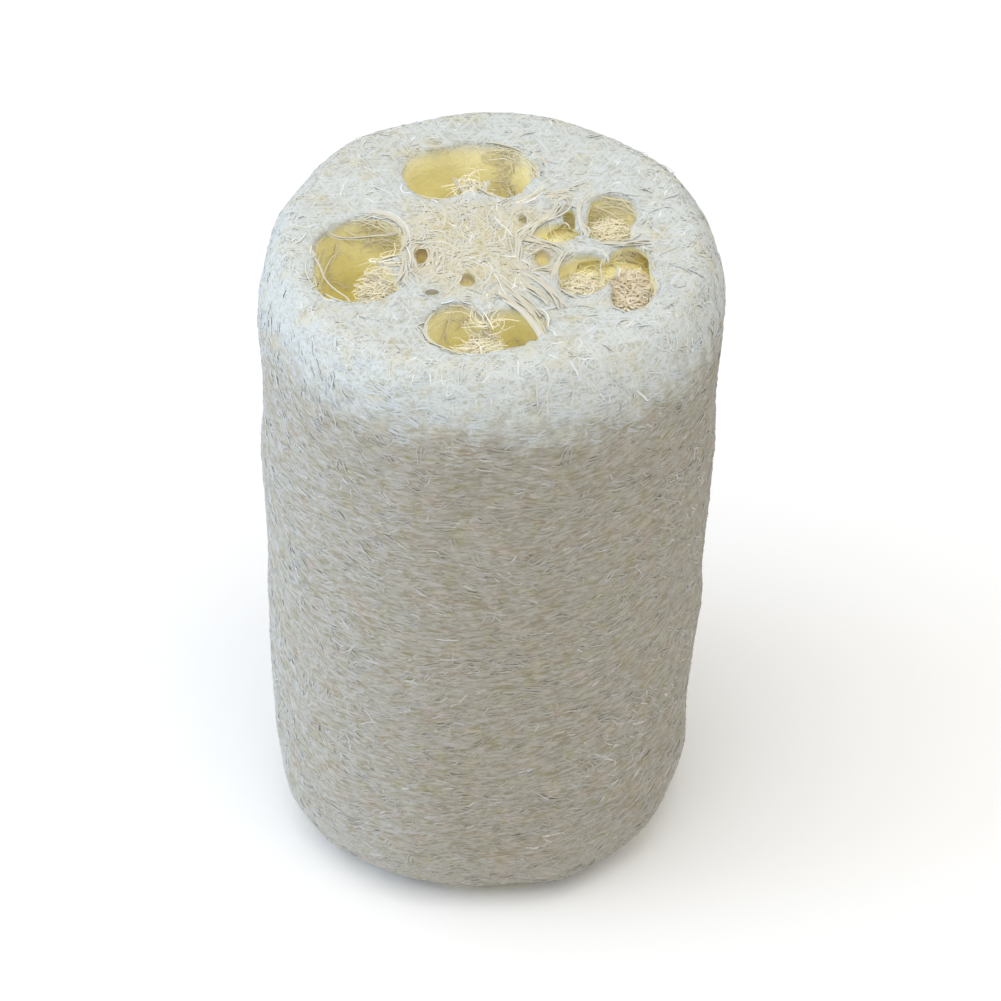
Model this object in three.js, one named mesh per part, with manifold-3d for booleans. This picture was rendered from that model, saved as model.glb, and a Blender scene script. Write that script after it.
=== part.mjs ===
// A natural loofah sponge: one cut length of a dried loofah fruit's fibre skeleton, on its lower end.
// It grew as one net, so it is one solid: a thick wall, four seed chambers that run from end to end,
// a tuft of fibres that stands into each chamber, and a webbed core.
// Millimetres, +Z up, with the origin at the middle of the lower end.

import * as THREE from "three";
import { mergeVertices } from "three/addons/utils/BufferGeometryUtils.js";
import Module from "manifold-3d";

// The outside
const LENGTH = 123;
const RADIUS = 40; // over the fibres, at mid length
const TAPER = 0.06; // the upper end is this share wider than the lower end
const BELLY = 0.014; // the middle swells by this share
const LEAN = 2.8; // the axis drifts this far towards +X from the lower end to the upper end
const OUTLINE = [
  { lobes: 2, cos: -0.021, sin: -0.01 },
  { lobes: 3, cos: 0.002, sin: -0.01 },
  { lobes: 4, cos: -0.01, sin: 0 },
];
const UPPER_SHOULDER = { inset: 6.4, drop: 15 };
const LOWER_SHOULDER = { inset: 9.5, drop: 12 };

// The raised net of fibres, drawn larger than life: ridges along a lattice, with a pit in each mesh
const COLUMNS = 24;
const SIDE_ROWS = 23;
const SHOULDER_ROWS = 3;
const END_RINGS = 6;
const NET_STRAY = 0.3; // share of a mesh by which a knot strays
const PIT = { side: 1.7, upper: 1.8, lower: 1.1 };
const SHALLOWEST_PIT = 0.5; // share of the full depth
const LOWER_PIT_SHARE = 0.5; // the lower end's other meshes are cut flat, and carry the sponge

// Seed chambers: place, half sizes and corner fullness, and the notch that the tuft makes in the wall.
// The notch's toward is the direction from the chamber's middle to the tuft's root, and width is its
// half width, both in degrees; depth is a share of the distance from the chamber's middle to its wall.
const CHAMBERS = {
  back: { x: -2.5, y: 18.3, halfX: 11.6, halfY: 8.8, full: 2.5, toward: -84, depth: 0.8, width: 24 },
  left: { x: -20.2, y: -6.5, halfX: 7.9, halfY: 11.6, full: 2.7, toward: -8, depth: 0.72, width: 30 },
  front: { x: 0.4, y: -25, halfX: 9.7, halfY: 6.9, full: 2.3, toward: 92, depth: 0.82, width: 20 },
  right: { x: 19, y: -4.8, halfX: 9.6, halfY: 16.6, full: 2.6, toward: 172, depth: 0.7, width: 26 },
};
const CHAMBER_POINTS = 24;
const CHAMBER_ROWS = 6;
const CHAMBER_RIPPLE = { share: 0.03, lobes: 3, length: 11 };
const OVERSHOOT = 4; // a chamber's cutter runs this far past each end

// Small gaps between the core's fibres, open at the upper end: place and radius
const CORE_GAPS = [
  [-10.4, -4.8, 1.3], [-3, -12.8, 1.6], [-6.2, 4.2, 1.1], [4.6, 4.8, 1.5], [8.9, -6, 1.7],
  [-8, -15.6, 1.3], [12.5, -19.5, 1.5], [13.2, 13.8, 1.4],
];
const GAP = { depth: 6, sides: 5, narrowing: 0.35 };

// Strands fused to the upper end
const STRAND_CORNERS = 3;
const CORNER_REACH = 0.62; // from the centreline to a corner, as a share of the strand's diameter
const WEB = { strands: 14, diameter: 1.6, lengths: [9, 17], reach: 12, middleY: -4, fan: 0.4, bend: 0.9 };
const WEB_SINK = 0.1; // a web strand's centreline is this far under the upper end
const WEB_CLEAR = 0.6; // and its points stay this far from the chambers
const LIP = { diameter: 1.3, outside: 0.35, sink: 0.25, steps: 12, clear: 1.5 };
const TUFT = { strands: 4, diameter: 1.1, lengths: [3.2, 5.2], fan: 1.9, root: 3.4 };
const TUFT_DEPTH = { first: 0.8, step: 2.2, root: 1.2, droop: 2.5 };

// Strands that cross a chamber just under its mouth: points as x, y and depth under the upper end
const CROSSINGS = [
  [[6, -3.5, 1.2], [13, -3.2, 1.8], [19.5, -2.4, 2.6], [30, -3.6, 2]],
  [[11.5, 3, 1.2], [15.2, 0.4, 2.2], [18.5, -2.2, 3]],
  [[12, -16, 2.2], [14.6, -7.5, 2], [17.4, -2.6, 2.4]],
  [[17.5, -2.2, 2.8], [20.6, 4.6, 4.2], [29, 6.8, 3.6]],
  [[-29, -7, 1.2], [-26.2, -10.5, 1.8], [-22.6, -20, 1.4]],
];
const CROSSING_STEPS = 5;
const STRAND_STEPS = 3;
const SEED = 20817;

const FIBRE = new THREE.MeshStandardMaterial({ color: 0xdedacb, roughness: 0.9, metalness: 0 });

const wasm = await Module();
wasm.setup();

// A repeatable draw between two limits.
let drawState = SEED;
function draw(low = 0, high = 1) {
  drawState = (drawState + 0x6d2b79f5) | 0;
  let mixed = Math.imul(drawState ^ (drawState >>> 15), 1 | drawState);
  mixed = (mixed + Math.imul(mixed ^ (mixed >>> 7), 61 | mixed)) ^ mixed;
  return low + ((high - low) * ((mixed ^ (mixed >>> 14)) >>> 0)) / 2 ** 32;
}

const radians = THREE.MathUtils.degToRad;
const point = (x, y, z) => new THREE.Vector3(x, y, z);

// A three.js geometry as a solid: shared vertices merged, collapsed triangles dropped.
function solidOf(geometry) {
  const bare = new THREE.BufferGeometry().setAttribute("position", geometry.getAttribute("position"));
  if (geometry.index) bare.setIndex(geometry.index);
  const merged = mergeVertices(bare, 1e-4);
  const corners = merged.index.array;
  const kept = [];
  for (let i = 0; i < corners.length; i += 3) {
    const [a, b, c] = [corners[i], corners[i + 1], corners[i + 2]];
    if (a !== b && b !== c && c !== a) kept.push(a, b, c);
  }
  const vertProperties = new Float32Array(merged.attributes.position.array);
  return new wasm.Manifold(new wasm.Mesh({ numProp: 3, vertProperties, triVerts: new Uint32Array(kept) }));
}

function geometryOf(solid) {
  const mesh = solid.getMesh();
  const geometry = new THREE.BufferGeometry();
  geometry.setAttribute("position", new THREE.BufferAttribute(new Float32Array(mesh.vertProperties), 3));
  geometry.setIndex(new THREE.BufferAttribute(new Uint32Array(mesh.triVerts), 1));
  return geometry;
}

// Radius of the outside at a turn about the axis and a height, before the shoulders round it off.
function sideRadius(turn, z) {
  const share = z / LENGTH;
  const swell = 1 + TAPER * (share - 0.5) + BELLY * (1 - (2 * share - 1) ** 2);
  const wave = (o) => o.cos * Math.cos(o.lobes * turn) + o.sin * Math.sin(o.lobes * turn);
  return RADIUS * swell * OUTLINE.reduce((sum, o) => sum + wave(o), 1);
}

function axisShift(z) {
  return LEAN * (z / LENGTH - 0.5);
}

// The rows of the net, from the middle of the lower end over the side to the middle of the upper end.
// A row has its height, its share of the radius, how far a shoulder draws it in, how far its knots stray
// up or down, and the depth of the pits above it.
function netRows() {
  const rings = Array.from({ length: END_RINGS - 1 }, (_, k) => (k + 1) / END_RINGS);
  const quarter = (k) => ((k / SHOULDER_ROWS) * Math.PI) / 2;
  const sideTop = LENGTH - UPPER_SHOULDER.drop;
  const rise = (sideTop - LOWER_SHOULDER.drop) / SIDE_ROWS;
  const lower = { z: 0, share: 1, inset: LOWER_SHOULDER.inset, stray: 0, pit: PIT.lower };
  const upper = { z: LENGTH, share: 1, inset: UPPER_SHOULDER.inset, stray: 0, pit: PIT.upper };
  const rows = rings.map((share) => ({ ...lower, share }));
  for (let k = 0; k < SHOULDER_ROWS; k++) {
    const z = LOWER_SHOULDER.drop * (1 - Math.cos(quarter(k)));
    const inset = LOWER_SHOULDER.inset * (1 - Math.sin(quarter(k)));
    rows.push({ ...lower, z, inset, pit: PIT.side });
  }
  for (let k = 0; k <= SIDE_ROWS; k++) {
    const z = LOWER_SHOULDER.drop + k * rise;
    rows.push({ z, share: 1, inset: 0, stray: NET_STRAY * rise, pit: PIT.side });
  }
  for (let k = 1; k <= SHOULDER_ROWS; k++) {
    const z = sideTop + UPPER_SHOULDER.drop * Math.sin(quarter(k));
    rows.push({ ...upper, z, inset: UPPER_SHOULDER.inset * (1 - Math.cos(quarter(k))) });
  }
  return rows.concat(rings.reverse().map((share) => ({ ...upper, share })));
}

// The knots of one row: every other row is turned by half a mesh, and each knot strays a little.
function netKnots(row, index) {
  return Array.from({ length: COLUMNS }, (_, k) => {
    const turn = ((k + 0.5 * (index % 2) + draw(-NET_STRAY, NET_STRAY)) / COLUMNS) * 2 * Math.PI;
    const radius = row.share * (sideRadius(turn, row.z) - row.inset);
    const x = radius * Math.cos(turn) + axisShift(row.z);
    return point(x, radius * Math.sin(turn), row.z + draw(-row.stray, row.stray));
  });
}

// The outside of the sponge, before its chambers are opened.
function netSkin() {
  const rows = netRows();
  const knots = rows.map(netKnots);
  const corners = [];
  const addMesh = (a, b, c, pit) => {
    const floor = point(0, 0, 0).add(a).add(b).add(c).divideScalar(3);
    const outward = new THREE.Triangle(a, b, c).getNormal(point(0, 0, 0));
    floor.addScaledVector(outward, -pit * draw(SHALLOWEST_PIT, 1));
    if (pit) corners.push(a, b, floor, b, c, floor, c, a, floor);
    else corners.push(a, b, c);
  };
  for (let j = 0; j + 1 < rows.length; j++) {
    const [low, high] = [knots[j], knots[j + 1]];
    const pitted = () => rows[j + 1].z > 0 || draw() < LOWER_PIT_SHARE;
    for (let k = 0; k < COLUMNS; k++) {
      const next = (k + 1) % COLUMNS;
      const [lowTip, highTip] = j % 2 ? [low[k], high[next]] : [low[next], high[k]];
      addMesh(low[k], low[next], highTip, pitted() ? rows[j].pit : 0);
      addMesh(lowTip, high[next], high[k], pitted() ? rows[j].pit : 0);
    }
  }
  const [lowest, highest] = [knots[0], knots[knots.length - 1]];
  const lowMiddle = point(axisShift(0), 0, 0);
  const highMiddle = point(axisShift(LENGTH), 0, LENGTH);
  for (let k = 0; k < COLUMNS; k++) {
    const next = (k + 1) % COLUMNS;
    addMesh(lowMiddle, lowest[next], lowest[k], 0);
    addMesh(highMiddle, highest[k], highest[next], 0);
  }
  return solidOf(new THREE.BufferGeometry().setFromPoints(corners));
}

// Distance from a chamber's middle to its wall along a direction: a full oval, notched by its tuft.
function chamberReach({ halfX, halfY, full, toward, depth, width }, direction) {
  const across = Math.abs(Math.cos(direction) / halfX) ** full;
  const along = Math.abs(Math.sin(direction) / halfY) ** full;
  const turned = THREE.MathUtils.euclideanModulo(direction - radians(toward) + Math.PI, 2 * Math.PI);
  const notch = depth * Math.exp(-(((turned - Math.PI) / radians(width)) ** 2));
  return (across + along) ** (-1 / full) * (1 - notch);
}

function chamberPoint(chamber, direction, grow = 0) {
  const reach = chamberReach(chamber, direction) + grow;
  return new THREE.Vector2(chamber.x + reach * Math.cos(direction), chamber.y + reach * Math.sin(direction));
}

// The space of one chamber, run past both ends, with a gently uneven wall.
function chamberCutter(chamber, index) {
  const outline = Array.from({ length: CHAMBER_POINTS }, (_, k) =>
    chamberPoint(chamber, (k / CHAMBER_POINTS) * 2 * Math.PI));
  const options = { depth: LENGTH + 2 * OVERSHOOT, steps: CHAMBER_ROWS, bevelEnabled: false };
  const prism = new THREE.ExtrudeGeometry(new THREE.Shape(outline), options).translate(0, 0, -OVERSHOOT);
  const place = prism.getAttribute("position");
  const { share, lobes, length } = CHAMBER_RIPPLE;
  for (let i = 0; i < place.count; i++) {
    const [dx, dy] = [place.getX(i) - chamber.x, place.getY(i) - chamber.y];
    const swell = 1 + share * Math.sin(lobes * Math.atan2(dy, dx) + place.getZ(i) / length + index);
    place.setXY(i, chamber.x + dx * swell, chamber.y + dy * swell);
  }
  return solidOf(prism);
}

function coreGap([x, y, radius]) {
  const cone = new THREE.CylinderGeometry(radius, GAP.narrowing * radius, 2 * GAP.depth, GAP.sides);
  return solidOf(cone.rotateX(Math.PI / 2).translate(x, y, LENGTH));
}

// A three-sided strand along a smooth curve through the given points.
function strand(points, diameter, steps) {
  const corner = (k) => {
    const turn = (k / STRAND_CORNERS) * 2 * Math.PI;
    return new THREE.Vector2(Math.cos(turn), Math.sin(turn)).multiplyScalar(CORNER_REACH * diameter);
  };
  const section = new THREE.Shape(Array.from({ length: STRAND_CORNERS }, (_, k) => corner(k)));
  const extrudePath = new THREE.CatmullRomCurve3(points);
  return solidOf(new THREE.ExtrudeGeometry(section, { extrudePath, steps, bevelEnabled: false }));
}

// True where a point in plan is in a chamber, or closer to one than a margin.
function inChamber(x, y, margin) {
  return Object.values(CHAMBERS).some((chamber) => {
    const [dx, dy] = [x - chamber.x, y - chamber.y];
    return Math.hypot(dx, dy) < chamberReach(chamber, Math.atan2(dy, dx)) + margin;
  });
}

// Strands of the core's web: they lie on the upper end and run outwards, between the chambers.
function webStrands() {
  const made = [];
  while (made.length < WEB.strands) {
    const turn = draw(0, 2 * Math.PI);
    const out = draw(1, WEB.reach);
    const heading = turn + draw(-WEB.fan, WEB.fan);
    const length = draw(...WEB.lengths);
    const bend = draw(-WEB.bend, WEB.bend);
    const points = [-1 / 2, -1 / 6, 1 / 6, 1 / 2].map((share) => {
      const x = out * Math.cos(turn) + length * share * Math.cos(heading + bend * share);
      const y = out * Math.sin(turn) + length * share * Math.sin(heading + bend * share) + WEB.middleY;
      return point(x, y, LENGTH - WEB_SINK);
    });
    const clear = points.every((p) => !inChamber(p.x, p.y, WEB_CLEAR));
    if (clear) made.push(strand(points, WEB.diameter, STRAND_STEPS));
  }
  return made;
}

// The smooth lip round a chamber's mouth, left out at the tuft.
function lip(chamber) {
  const start = radians(chamber.toward + LIP.clear * chamber.width);
  const sweep = radians(360 - 2 * LIP.clear * chamber.width);
  const points = Array.from({ length: LIP.steps + 1 }, (_, k) => {
    const p = chamberPoint(chamber, start + (sweep * k) / LIP.steps, LIP.outside);
    return point(p.x, p.y, LENGTH - LIP.sink);
  });
  return strand(points, LIP.diameter, LIP.steps);
}

// A fan of strands that leaves the tip of a chamber's tuft and droops into the chamber.
function tuftStrands(chamber) {
  const root = radians(chamber.toward);
  const tip = chamberPoint(chamber, root);
  const seat = chamberPoint(chamber, root, TUFT.root);
  return Array.from({ length: TUFT.strands }, (_, k) => {
    const heading = root + Math.PI + (k / (TUFT.strands - 1) - 0.5) * TUFT.fan;
    const length = draw(...TUFT.lengths);
    const z = LENGTH - TUFT_DEPTH.first - TUFT_DEPTH.step * k;
    const end = [tip.x + length * Math.cos(heading), tip.y + length * Math.sin(heading)];
    const points = [
      point(seat.x, seat.y, z - TUFT_DEPTH.root),
      point(tip.x, tip.y, z),
      point(...end, z - TUFT_DEPTH.droop),
    ];
    return strand(points, TUFT.diameter, STRAND_STEPS);
  });
}

function crossingStrand(route) {
  const points = route.map(([x, y, depth]) => point(x, y, LENGTH - depth));
  return strand(points, WEB.diameter, CROSSING_STEPS);
}

// The sponge as one body: a scrap that the cutting left loose is dropped.
function loofah() {
  const chambers = Object.values(CHAMBERS);
  const spaces = [...chambers.map(chamberCutter), ...CORE_GAPS.map(coreGap)];
  const opened = netSkin().subtract(wasm.Manifold.union(spaces));
  const tufts = chambers.flatMap(tuftStrands);
  const strands = [...webStrands(), ...chambers.map(lip), ...tufts, ...CROSSINGS.map(crossingStrand)];
  const bodies = opened.add(wasm.Manifold.union(strands)).decompose();
  return bodies.reduce((largest, body) => (body.volume() > largest.volume() ? body : largest));
}

// The box of the finished body sets the origin.
const geometry = geometryOf(loofah());
geometry.computeBoundingBox();
const middle = geometry.boundingBox.getCenter(point(0, 0, 0));
geometry.translate(-middle.x, -middle.y, -geometry.boundingBox.min.z);
geometry.computeVertexNormals();

const sponge = new THREE.Mesh(geometry, FIBRE);
sponge.name = "loofah_sponge";

const part = new THREE.Group();
part.add(sponge);

export default part;
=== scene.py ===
"""Natural loofah sponge: a cut length of dried, bleached loofah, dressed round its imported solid.

A felted body with open seed chambers carries mats of single fibres on its side and on both cut ends,
a net of unbleached fibres inside the chambers, a webbed core, and the tufts that stand into the chambers.
Places in plan are measured from the sponge's own axis, and Skin.offset takes them into the frame.
"""

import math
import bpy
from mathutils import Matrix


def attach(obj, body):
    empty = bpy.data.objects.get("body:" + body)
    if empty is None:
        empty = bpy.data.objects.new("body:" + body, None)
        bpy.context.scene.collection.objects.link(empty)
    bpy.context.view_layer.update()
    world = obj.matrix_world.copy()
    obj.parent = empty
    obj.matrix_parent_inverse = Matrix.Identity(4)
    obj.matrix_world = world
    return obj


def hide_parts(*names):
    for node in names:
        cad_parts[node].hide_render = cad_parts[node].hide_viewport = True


bl_info = {
    "name": "Loofah Sponge",
    "version": (1, 0, 0),
    "blender": (4, 5, 0),
    "location": "3D View > Sidebar > Loofah",
    "description": "Builds a natural loofah sponge from felt, fibre mats and webs",
    "category": "Mesh",
}

import bpy
import numpy as np
from bpy.props import FloatProperty, FloatVectorProperty, IntProperty, PointerProperty
from mathutils import Vector

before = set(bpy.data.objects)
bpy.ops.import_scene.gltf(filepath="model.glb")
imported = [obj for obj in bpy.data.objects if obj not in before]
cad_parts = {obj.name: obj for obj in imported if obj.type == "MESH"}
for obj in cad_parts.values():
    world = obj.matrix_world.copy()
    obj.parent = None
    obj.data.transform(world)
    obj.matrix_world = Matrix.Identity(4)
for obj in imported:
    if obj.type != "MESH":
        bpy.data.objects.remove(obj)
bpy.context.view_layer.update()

MM = 0.001
NODE = "loofah_sponge"
BODY = "root"
UP = np.array((0.0, 0.0, 1.0))
BLACK = (0.0, 0.0, 0.0, 1.0)
IN_COLOUR = {"data_type": "RGBA"}

# How far the normals of a fibre lean out of its mat, and thickness over width of the mats' crushed fibres
FUZZ_SHARE = 0.85
MAT_FLAT = 0.4

# Points along the fibres of the side mats, and along the curlier ones elsewhere
STRAIGHT_POINTS = 4
CURLED_POINTS = 6

# Strength of the painted glow, an emission that stands in for daylight coming through the open net of the
# chambers
PAINTED_GLOW = 0.14

# Shares of the dark and of the pale colour that the darkest and the whitest fibres have
DARKEST = 0.85
WHITEST = 1.35

# Shares of the radius by which the outline leaves a circle: number of lobes, cosine part, sine part
OUTLINE = ((2, -0.021, -0.01), (3, 0.002, -0.01), (4, -0.01, 0.0))

# Seed chambers in plan, in millimetres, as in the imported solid: place, half sizes, corner fullness, and the
# notch of the tuft with its direction and half width in degrees
CHAMBERS = (
    dict(x=-2.5, y=18.3, half_x=11.6, half_y=8.8, full=2.5, toward=-84, depth=0.8, width=24),
    dict(x=-20.2, y=-6.5, half_x=7.9, half_y=11.6, full=2.7, toward=-8, depth=0.72, width=30),
    dict(x=0.4, y=-25.0, half_x=9.7, half_y=6.9, full=2.3, toward=92, depth=0.82, width=20),
    dict(x=19.0, y=-4.8, half_x=9.6, half_y=16.6, full=2.6, toward=172, depth=0.7, width=26),
)
WHOLE_CHAMBERS = CHAMBERS[:3]
WEBBED = CHAMBERS[3]

# Webs part the mouth of the webbed chamber, at the upper end, into cells without notches
NO_NOTCH = dict(toward=0, depth=0.0, width=10)
CELLS = (
    dict(x=12.3, y=0.6, half_x=4.4, half_y=3.4, full=1.45, **NO_NOTCH),
    dict(x=14.6, y=5.4, half_x=1.3, half_y=3.2, full=2.0, **NO_NOTCH),
    dict(x=21.6, y=5.3, half_x=4.2, half_y=6.4, full=2.4, **NO_NOTCH),
    dict(x=17.0, y=-10.4, half_x=4.5, half_y=5.4, full=2.3, **NO_NOTCH),
    dict(x=24.4, y=-12.2, half_x=3.7, half_y=9.2, full=2.4, **NO_NOTCH),
)
UPPER_MOUTHS = WHOLE_CHAMBERS + CELLS
WEB_DEPTH = 2.4 * MM
CELL_DEPTH = 12 * MM

# Smooth strands and bands of the core's web, in mm: half width, half thickness, dip under
# the upper end, and points in plan
WEB_ROUTES = (
    (0.8, 0.6, 0.3, ((5.5, 0.5), (8, -1.2), (11, -2.6), (14.2, -3.2))),
    (0.6, 0.5, 0.2, ((14.0, -3.2), (16, -3.0), (18.6, -2.0))),
    (0.5, 0.5, 0.2, ((17, -2.8), (20.5, -2.1), (24, -1.9), (28, -1.4))),
    (0.6, 0.5, 0.2, ((14.2, -3.0), (13.2, -5.5), (12.2, -8), (11.6, -10.5), (11.2, -13.5))),
    (0.4, 0.4, 0.2, ((16.8, -2.4), (17.1, 0.5), (16.5, 4), (16.4, 7.5), (17, 11))),
    (0.8, 0.6, 0.0, ((5.8, 1), (5.6, -3), (5.9, -7), (6.6, -10))),
    (0.8, 0.6, 0.0, ((6.4, 0), (9, 3.5), (11.5, 6), (13, 10))),
    (0.5, 0.4, 0.0, ((7.2, -10.5), (9.2, -10), (11.4, -9.2))),
    (0.9, 0.6, 0.0, ((0.8, -15), (3.4, -17.6), (6.5, -21.5), (9.2, -27), (10.4, -31))),
    (0.9, 0.6, 0.0, ((0, -13), (0.4, -17), (-0.6, -20))),
    (0.6, 0.5, 0.0, ((-5, -15), (-6.5, -18), (-9.5, -19.5))),
    (0.9, 0.6, 0.0, ((-20.5, 6.4), (-16, 5.8), (-13.2, 2.4), (-12.6, -3.0))),
    (0.2, 0.2, 2.2, ((-26.5, 1.2), (-23, 1.6), (-19, 2.6), (-13, 2.4))),
    (0.7, 0.5, 0.0, ((-13.4, -5.5), (-13, -9.5), (-13.4, -14))),
    (1.0, 0.6, 0.0, ((-14.8, 16), (-13.8, 12), (-11, 9.2), (-7, 8.6), (-3.5, 9.4))),
    (1.5, 0.5, 0.0, ((-12.2, 8.4), (-10, 7.8), (-8.2, 6.6))),
    (0.7, 0.5, 0.2, ((-1.5, 5), (-1.2, 8.5), (-1.6, 12), (-2.6, 15.5))),
    (0.5, 0.4, 0.5, ((-1.3, 10), (0.2, 13), (0.4, 16.5))),
    (0.4, 0.35, 0.6, ((-1.4, 11), (-3.6, 14), (-4.6, 17.5))),
    (0.9, 0.6, 0.0, ((3, 9.6), (7, 10.4), (9.4, 13.2), (10.4, 16.5))),
    (1.4, 0.5, 0.0, ((10.5, 10.6), (12.6, 11.6), (16, 11.2))),
    (0.5, 0.4, 0.0, ((-11.8, -2.6), (-12, -5), (-11.4, -8.6))),
    (0.5, 0.4, 0.0, ((-9.2, -2.8), (-8.9, -5.5), (-9.5, -9))),
    (0.14, 0.2, 1.2, ((-28.4, -6), (-26.9, -9.5), (-25.6, -12.5), (-23.2, -15.5), (-22.8, -19.5))),
    (0.5, 0.4, 0.0, ((-3.5, -10.5), (-4.6, -13.5), (-6.8, -17))),
    (0.5, 0.4, 0.0, ((3, -10), (7, -14), (11, -19))),
    (0.5, 0.4, 0.0, ((4, -9), (9, -13), (13, -20))),
    (0.5, 0.4, 0.0, ((2, -12), (5.5, -16.5), (9.5, -22))),
    (0.35, 0.3, 0.0, ((-8.0, -4), (-7.7, -7), (-8, -10))),
    (0.35, 0.3, 0.0, ((-6.8, -4.5), (-6.6, -7.5), (-7, -10.5))),
)

# Pads of loose fibre that part of a chamber holds: middle, half sizes and depth of the top, in mm, how many
# fibres, and the longest fibre in mm
FINE_PADS = (
    ((-17.0, -10.8), (3.9, 6.2), 2.6, 400, 5.0),
    ((17.2, -10.6), (5.2, 6.4), 3.0, 430, 5.0),
    ((21.6, 5.0), (5.0, 7.4), 3.6, 450, 5.0),
    ((4.6, 16), (5.2, 5.4), 8.0, 300, 6.0),
    ((-0.4, -27.4), (3.0, 4.2), 2.6, 230, 6.0),
)
COARSE_PADS = (((24.4, -13.6), (4.2, 8.2), 1.6, 620, 3.2),)

# Yellow floors close under two of the cells, with the pads' values and few fibres
CELL_FLOORS = (((13.2, 1.6), (6.2, 6.6), 2.6, 60, 7.0), ((20.5, -5.6), (8.0, 6.0), 3.0, 80, 7.0))

# Close nets on parts of the chambers' walls: number of the chamber, how many fibres, facing and spread in
# degrees, depth in mm and how much the fibres curl
WALL_NETS = ((0, 260, 38, 42, 16, 1.6), (3, 200, 80, 35, 14, 1.6), (1, 90, 60, 40, 6, 1.2))

# Small gaps between the core's fibres: place, half sizes and depth, in mm, and how dark their walls are made,
# partly a real stain and partly painted shade
CORE_GAPS = (
    (-10.4, -5.6, 1.2, 2.3, 3.6, 0.7),
    (-2.7, -12.9, 1.5, 2.0, 3.2, 0.2),
    (9.9, -6.3, 1.5, 2.8, 3.6, 0.2),
    (-8.5, -16.2, 1.4, 1.1, 2.2, 0.2),
    (6.6, 4.6, 0.9, 1.6, 2.2, 0.2),
    (12.2, 7.8, 0.8, 1.6, 2.2, 0.2),
)

# Finishes of dried loofah fibre: the pale, the dark and the patches' colour, the roughness, whether it
# carries the painted glow, and whether it pales towards -X, which is painted light, and towards the upper end
FIBRE_FINISHES = {
    # bleached, cut across and crushed flat: matt and near white, cream where the bleach missed
    "bleached_cut_loofah_fibre": ("bleached", "cream", "core_felt", 0.75, False, False),
    # bleached and matted where it grew: matt and grey, the grey partly painted shade that keeps the side
    # darker than the lit ends, with straw and olive strands
    "bleached_matted_loofah_fibre": ("side", "straw", "olive", 0.75, False, True),
    # dried out of the bleach's reach: cream to straw, and a little silky
    "unbleached_loofah_fibre": ("loose", "loose_dark", "lining", 0.65, True, False),
    # thicker, and dried smooth: tan, with a soft shine along each fibre
    "unbleached_coarse_loofah_fibre": ("coarse", "coarse_dark", "tan", 0.6, True, False),
    # pith that felted as it dried: dull and cream, a soft ground for the fibres on it
    "unbleached_felted_loofah": ("cushion", "cushion_dark", "deep", 0.9, True, False),
    # the same felt deeper in a chamber, where it kept the fruit's yellow: dull and warm
    "unbleached_chamber_felt": ("cell_floor", "cell_floor_dark", "deep", 0.9, True, False),
    # bleached and dried as flat bands: smoother than the fibres, so it catches a soft shine
    "smooth_loofah_web": ("web", "web_dark", "web_patch", 0.55, False, False),
}


def linear(hex_colour):
    """A colour written as sRGB hex digits, as the linear values that shaders take."""
    parts = [int(hex_colour[i : i + 2], 16) / 255 for i in (1, 3, 5)]
    return tuple(c / 12.92 if c <= 0.04045 else ((c + 0.055) / 1.055) ** 2.4 for c in parts) + (1.0,)


def length_property(name, millimetres, description):
    """A size in metres whose default is written in millimetres."""
    metres = millimetres * MM
    return FloatProperty(name=name, description=description, default=metres, min=0.0, unit="LENGTH")


def share_property(name, share, description):
    """A share of the whole."""
    return FloatProperty(name=name, description=description, default=share, subtype="FACTOR")


def count_property(name, count, description):
    """How many there are of something."""
    return IntProperty(name=name, description=description, default=count, min=1)


def colour_property(name, hex_colour, description):
    """A colour whose default is written as sRGB hex digits."""
    limits = dict(size=4, min=0.0, max=1.0, subtype="COLOR")
    return FloatVectorProperty(name=name, description=description, default=linear(hex_colour), **limits)


class LoofahShape(bpy.types.PropertyGroup):
    """Sizes of the outside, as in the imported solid."""

    length: length_property("Length", 123, "From the lower to the upper cut end")
    radius: length_property("Radius", 40, "Over the fibres at mid length")
    taper: share_property("Taper", 0.06, "Share by which the upper end is wider")
    belly: share_property("Belly", 0.014, "Share by which the middle swells")
    lean: length_property("Lean", 2.8, "Drift of the axis towards +X from end to end")
    upper_inset: length_property("Upper inset", 6.4, "How far the upper shoulder draws the end in")
    upper_drop: length_property("Upper drop", 15, "How far the upper shoulder reaches down")
    lower_inset: length_property("Lower inset", 9.5, "How far the lower shoulder draws the end in")
    lower_drop: length_property("Lower drop", 12, "How far the lower shoulder reaches up")


class LoofahFibres(bpy.types.PropertyGroup):
    """How many fibres there are, and their sizes."""

    seed: count_property("Seed", 20817, "Start of the random draws")
    side_count: count_property("Side fibres", 7000, "In each of the three side mats")
    end_count: count_property("End fibres", 5200, "On the upper end")
    chamber_count: count_property("Chamber fibres", 160, "On each chamber's wall")
    core_count: count_property("Core fibres", 700, "In the webbed core")
    tuft_count: count_property("Tuft fibres", 44, "In each chamber's tuft")
    thickness: length_property("Thickness", 0.3, "Usual diameter of a fibre in the mats")
    felt_step: length_property("Felt step", 1.05, "Size of the felt's smallest lump")


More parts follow.
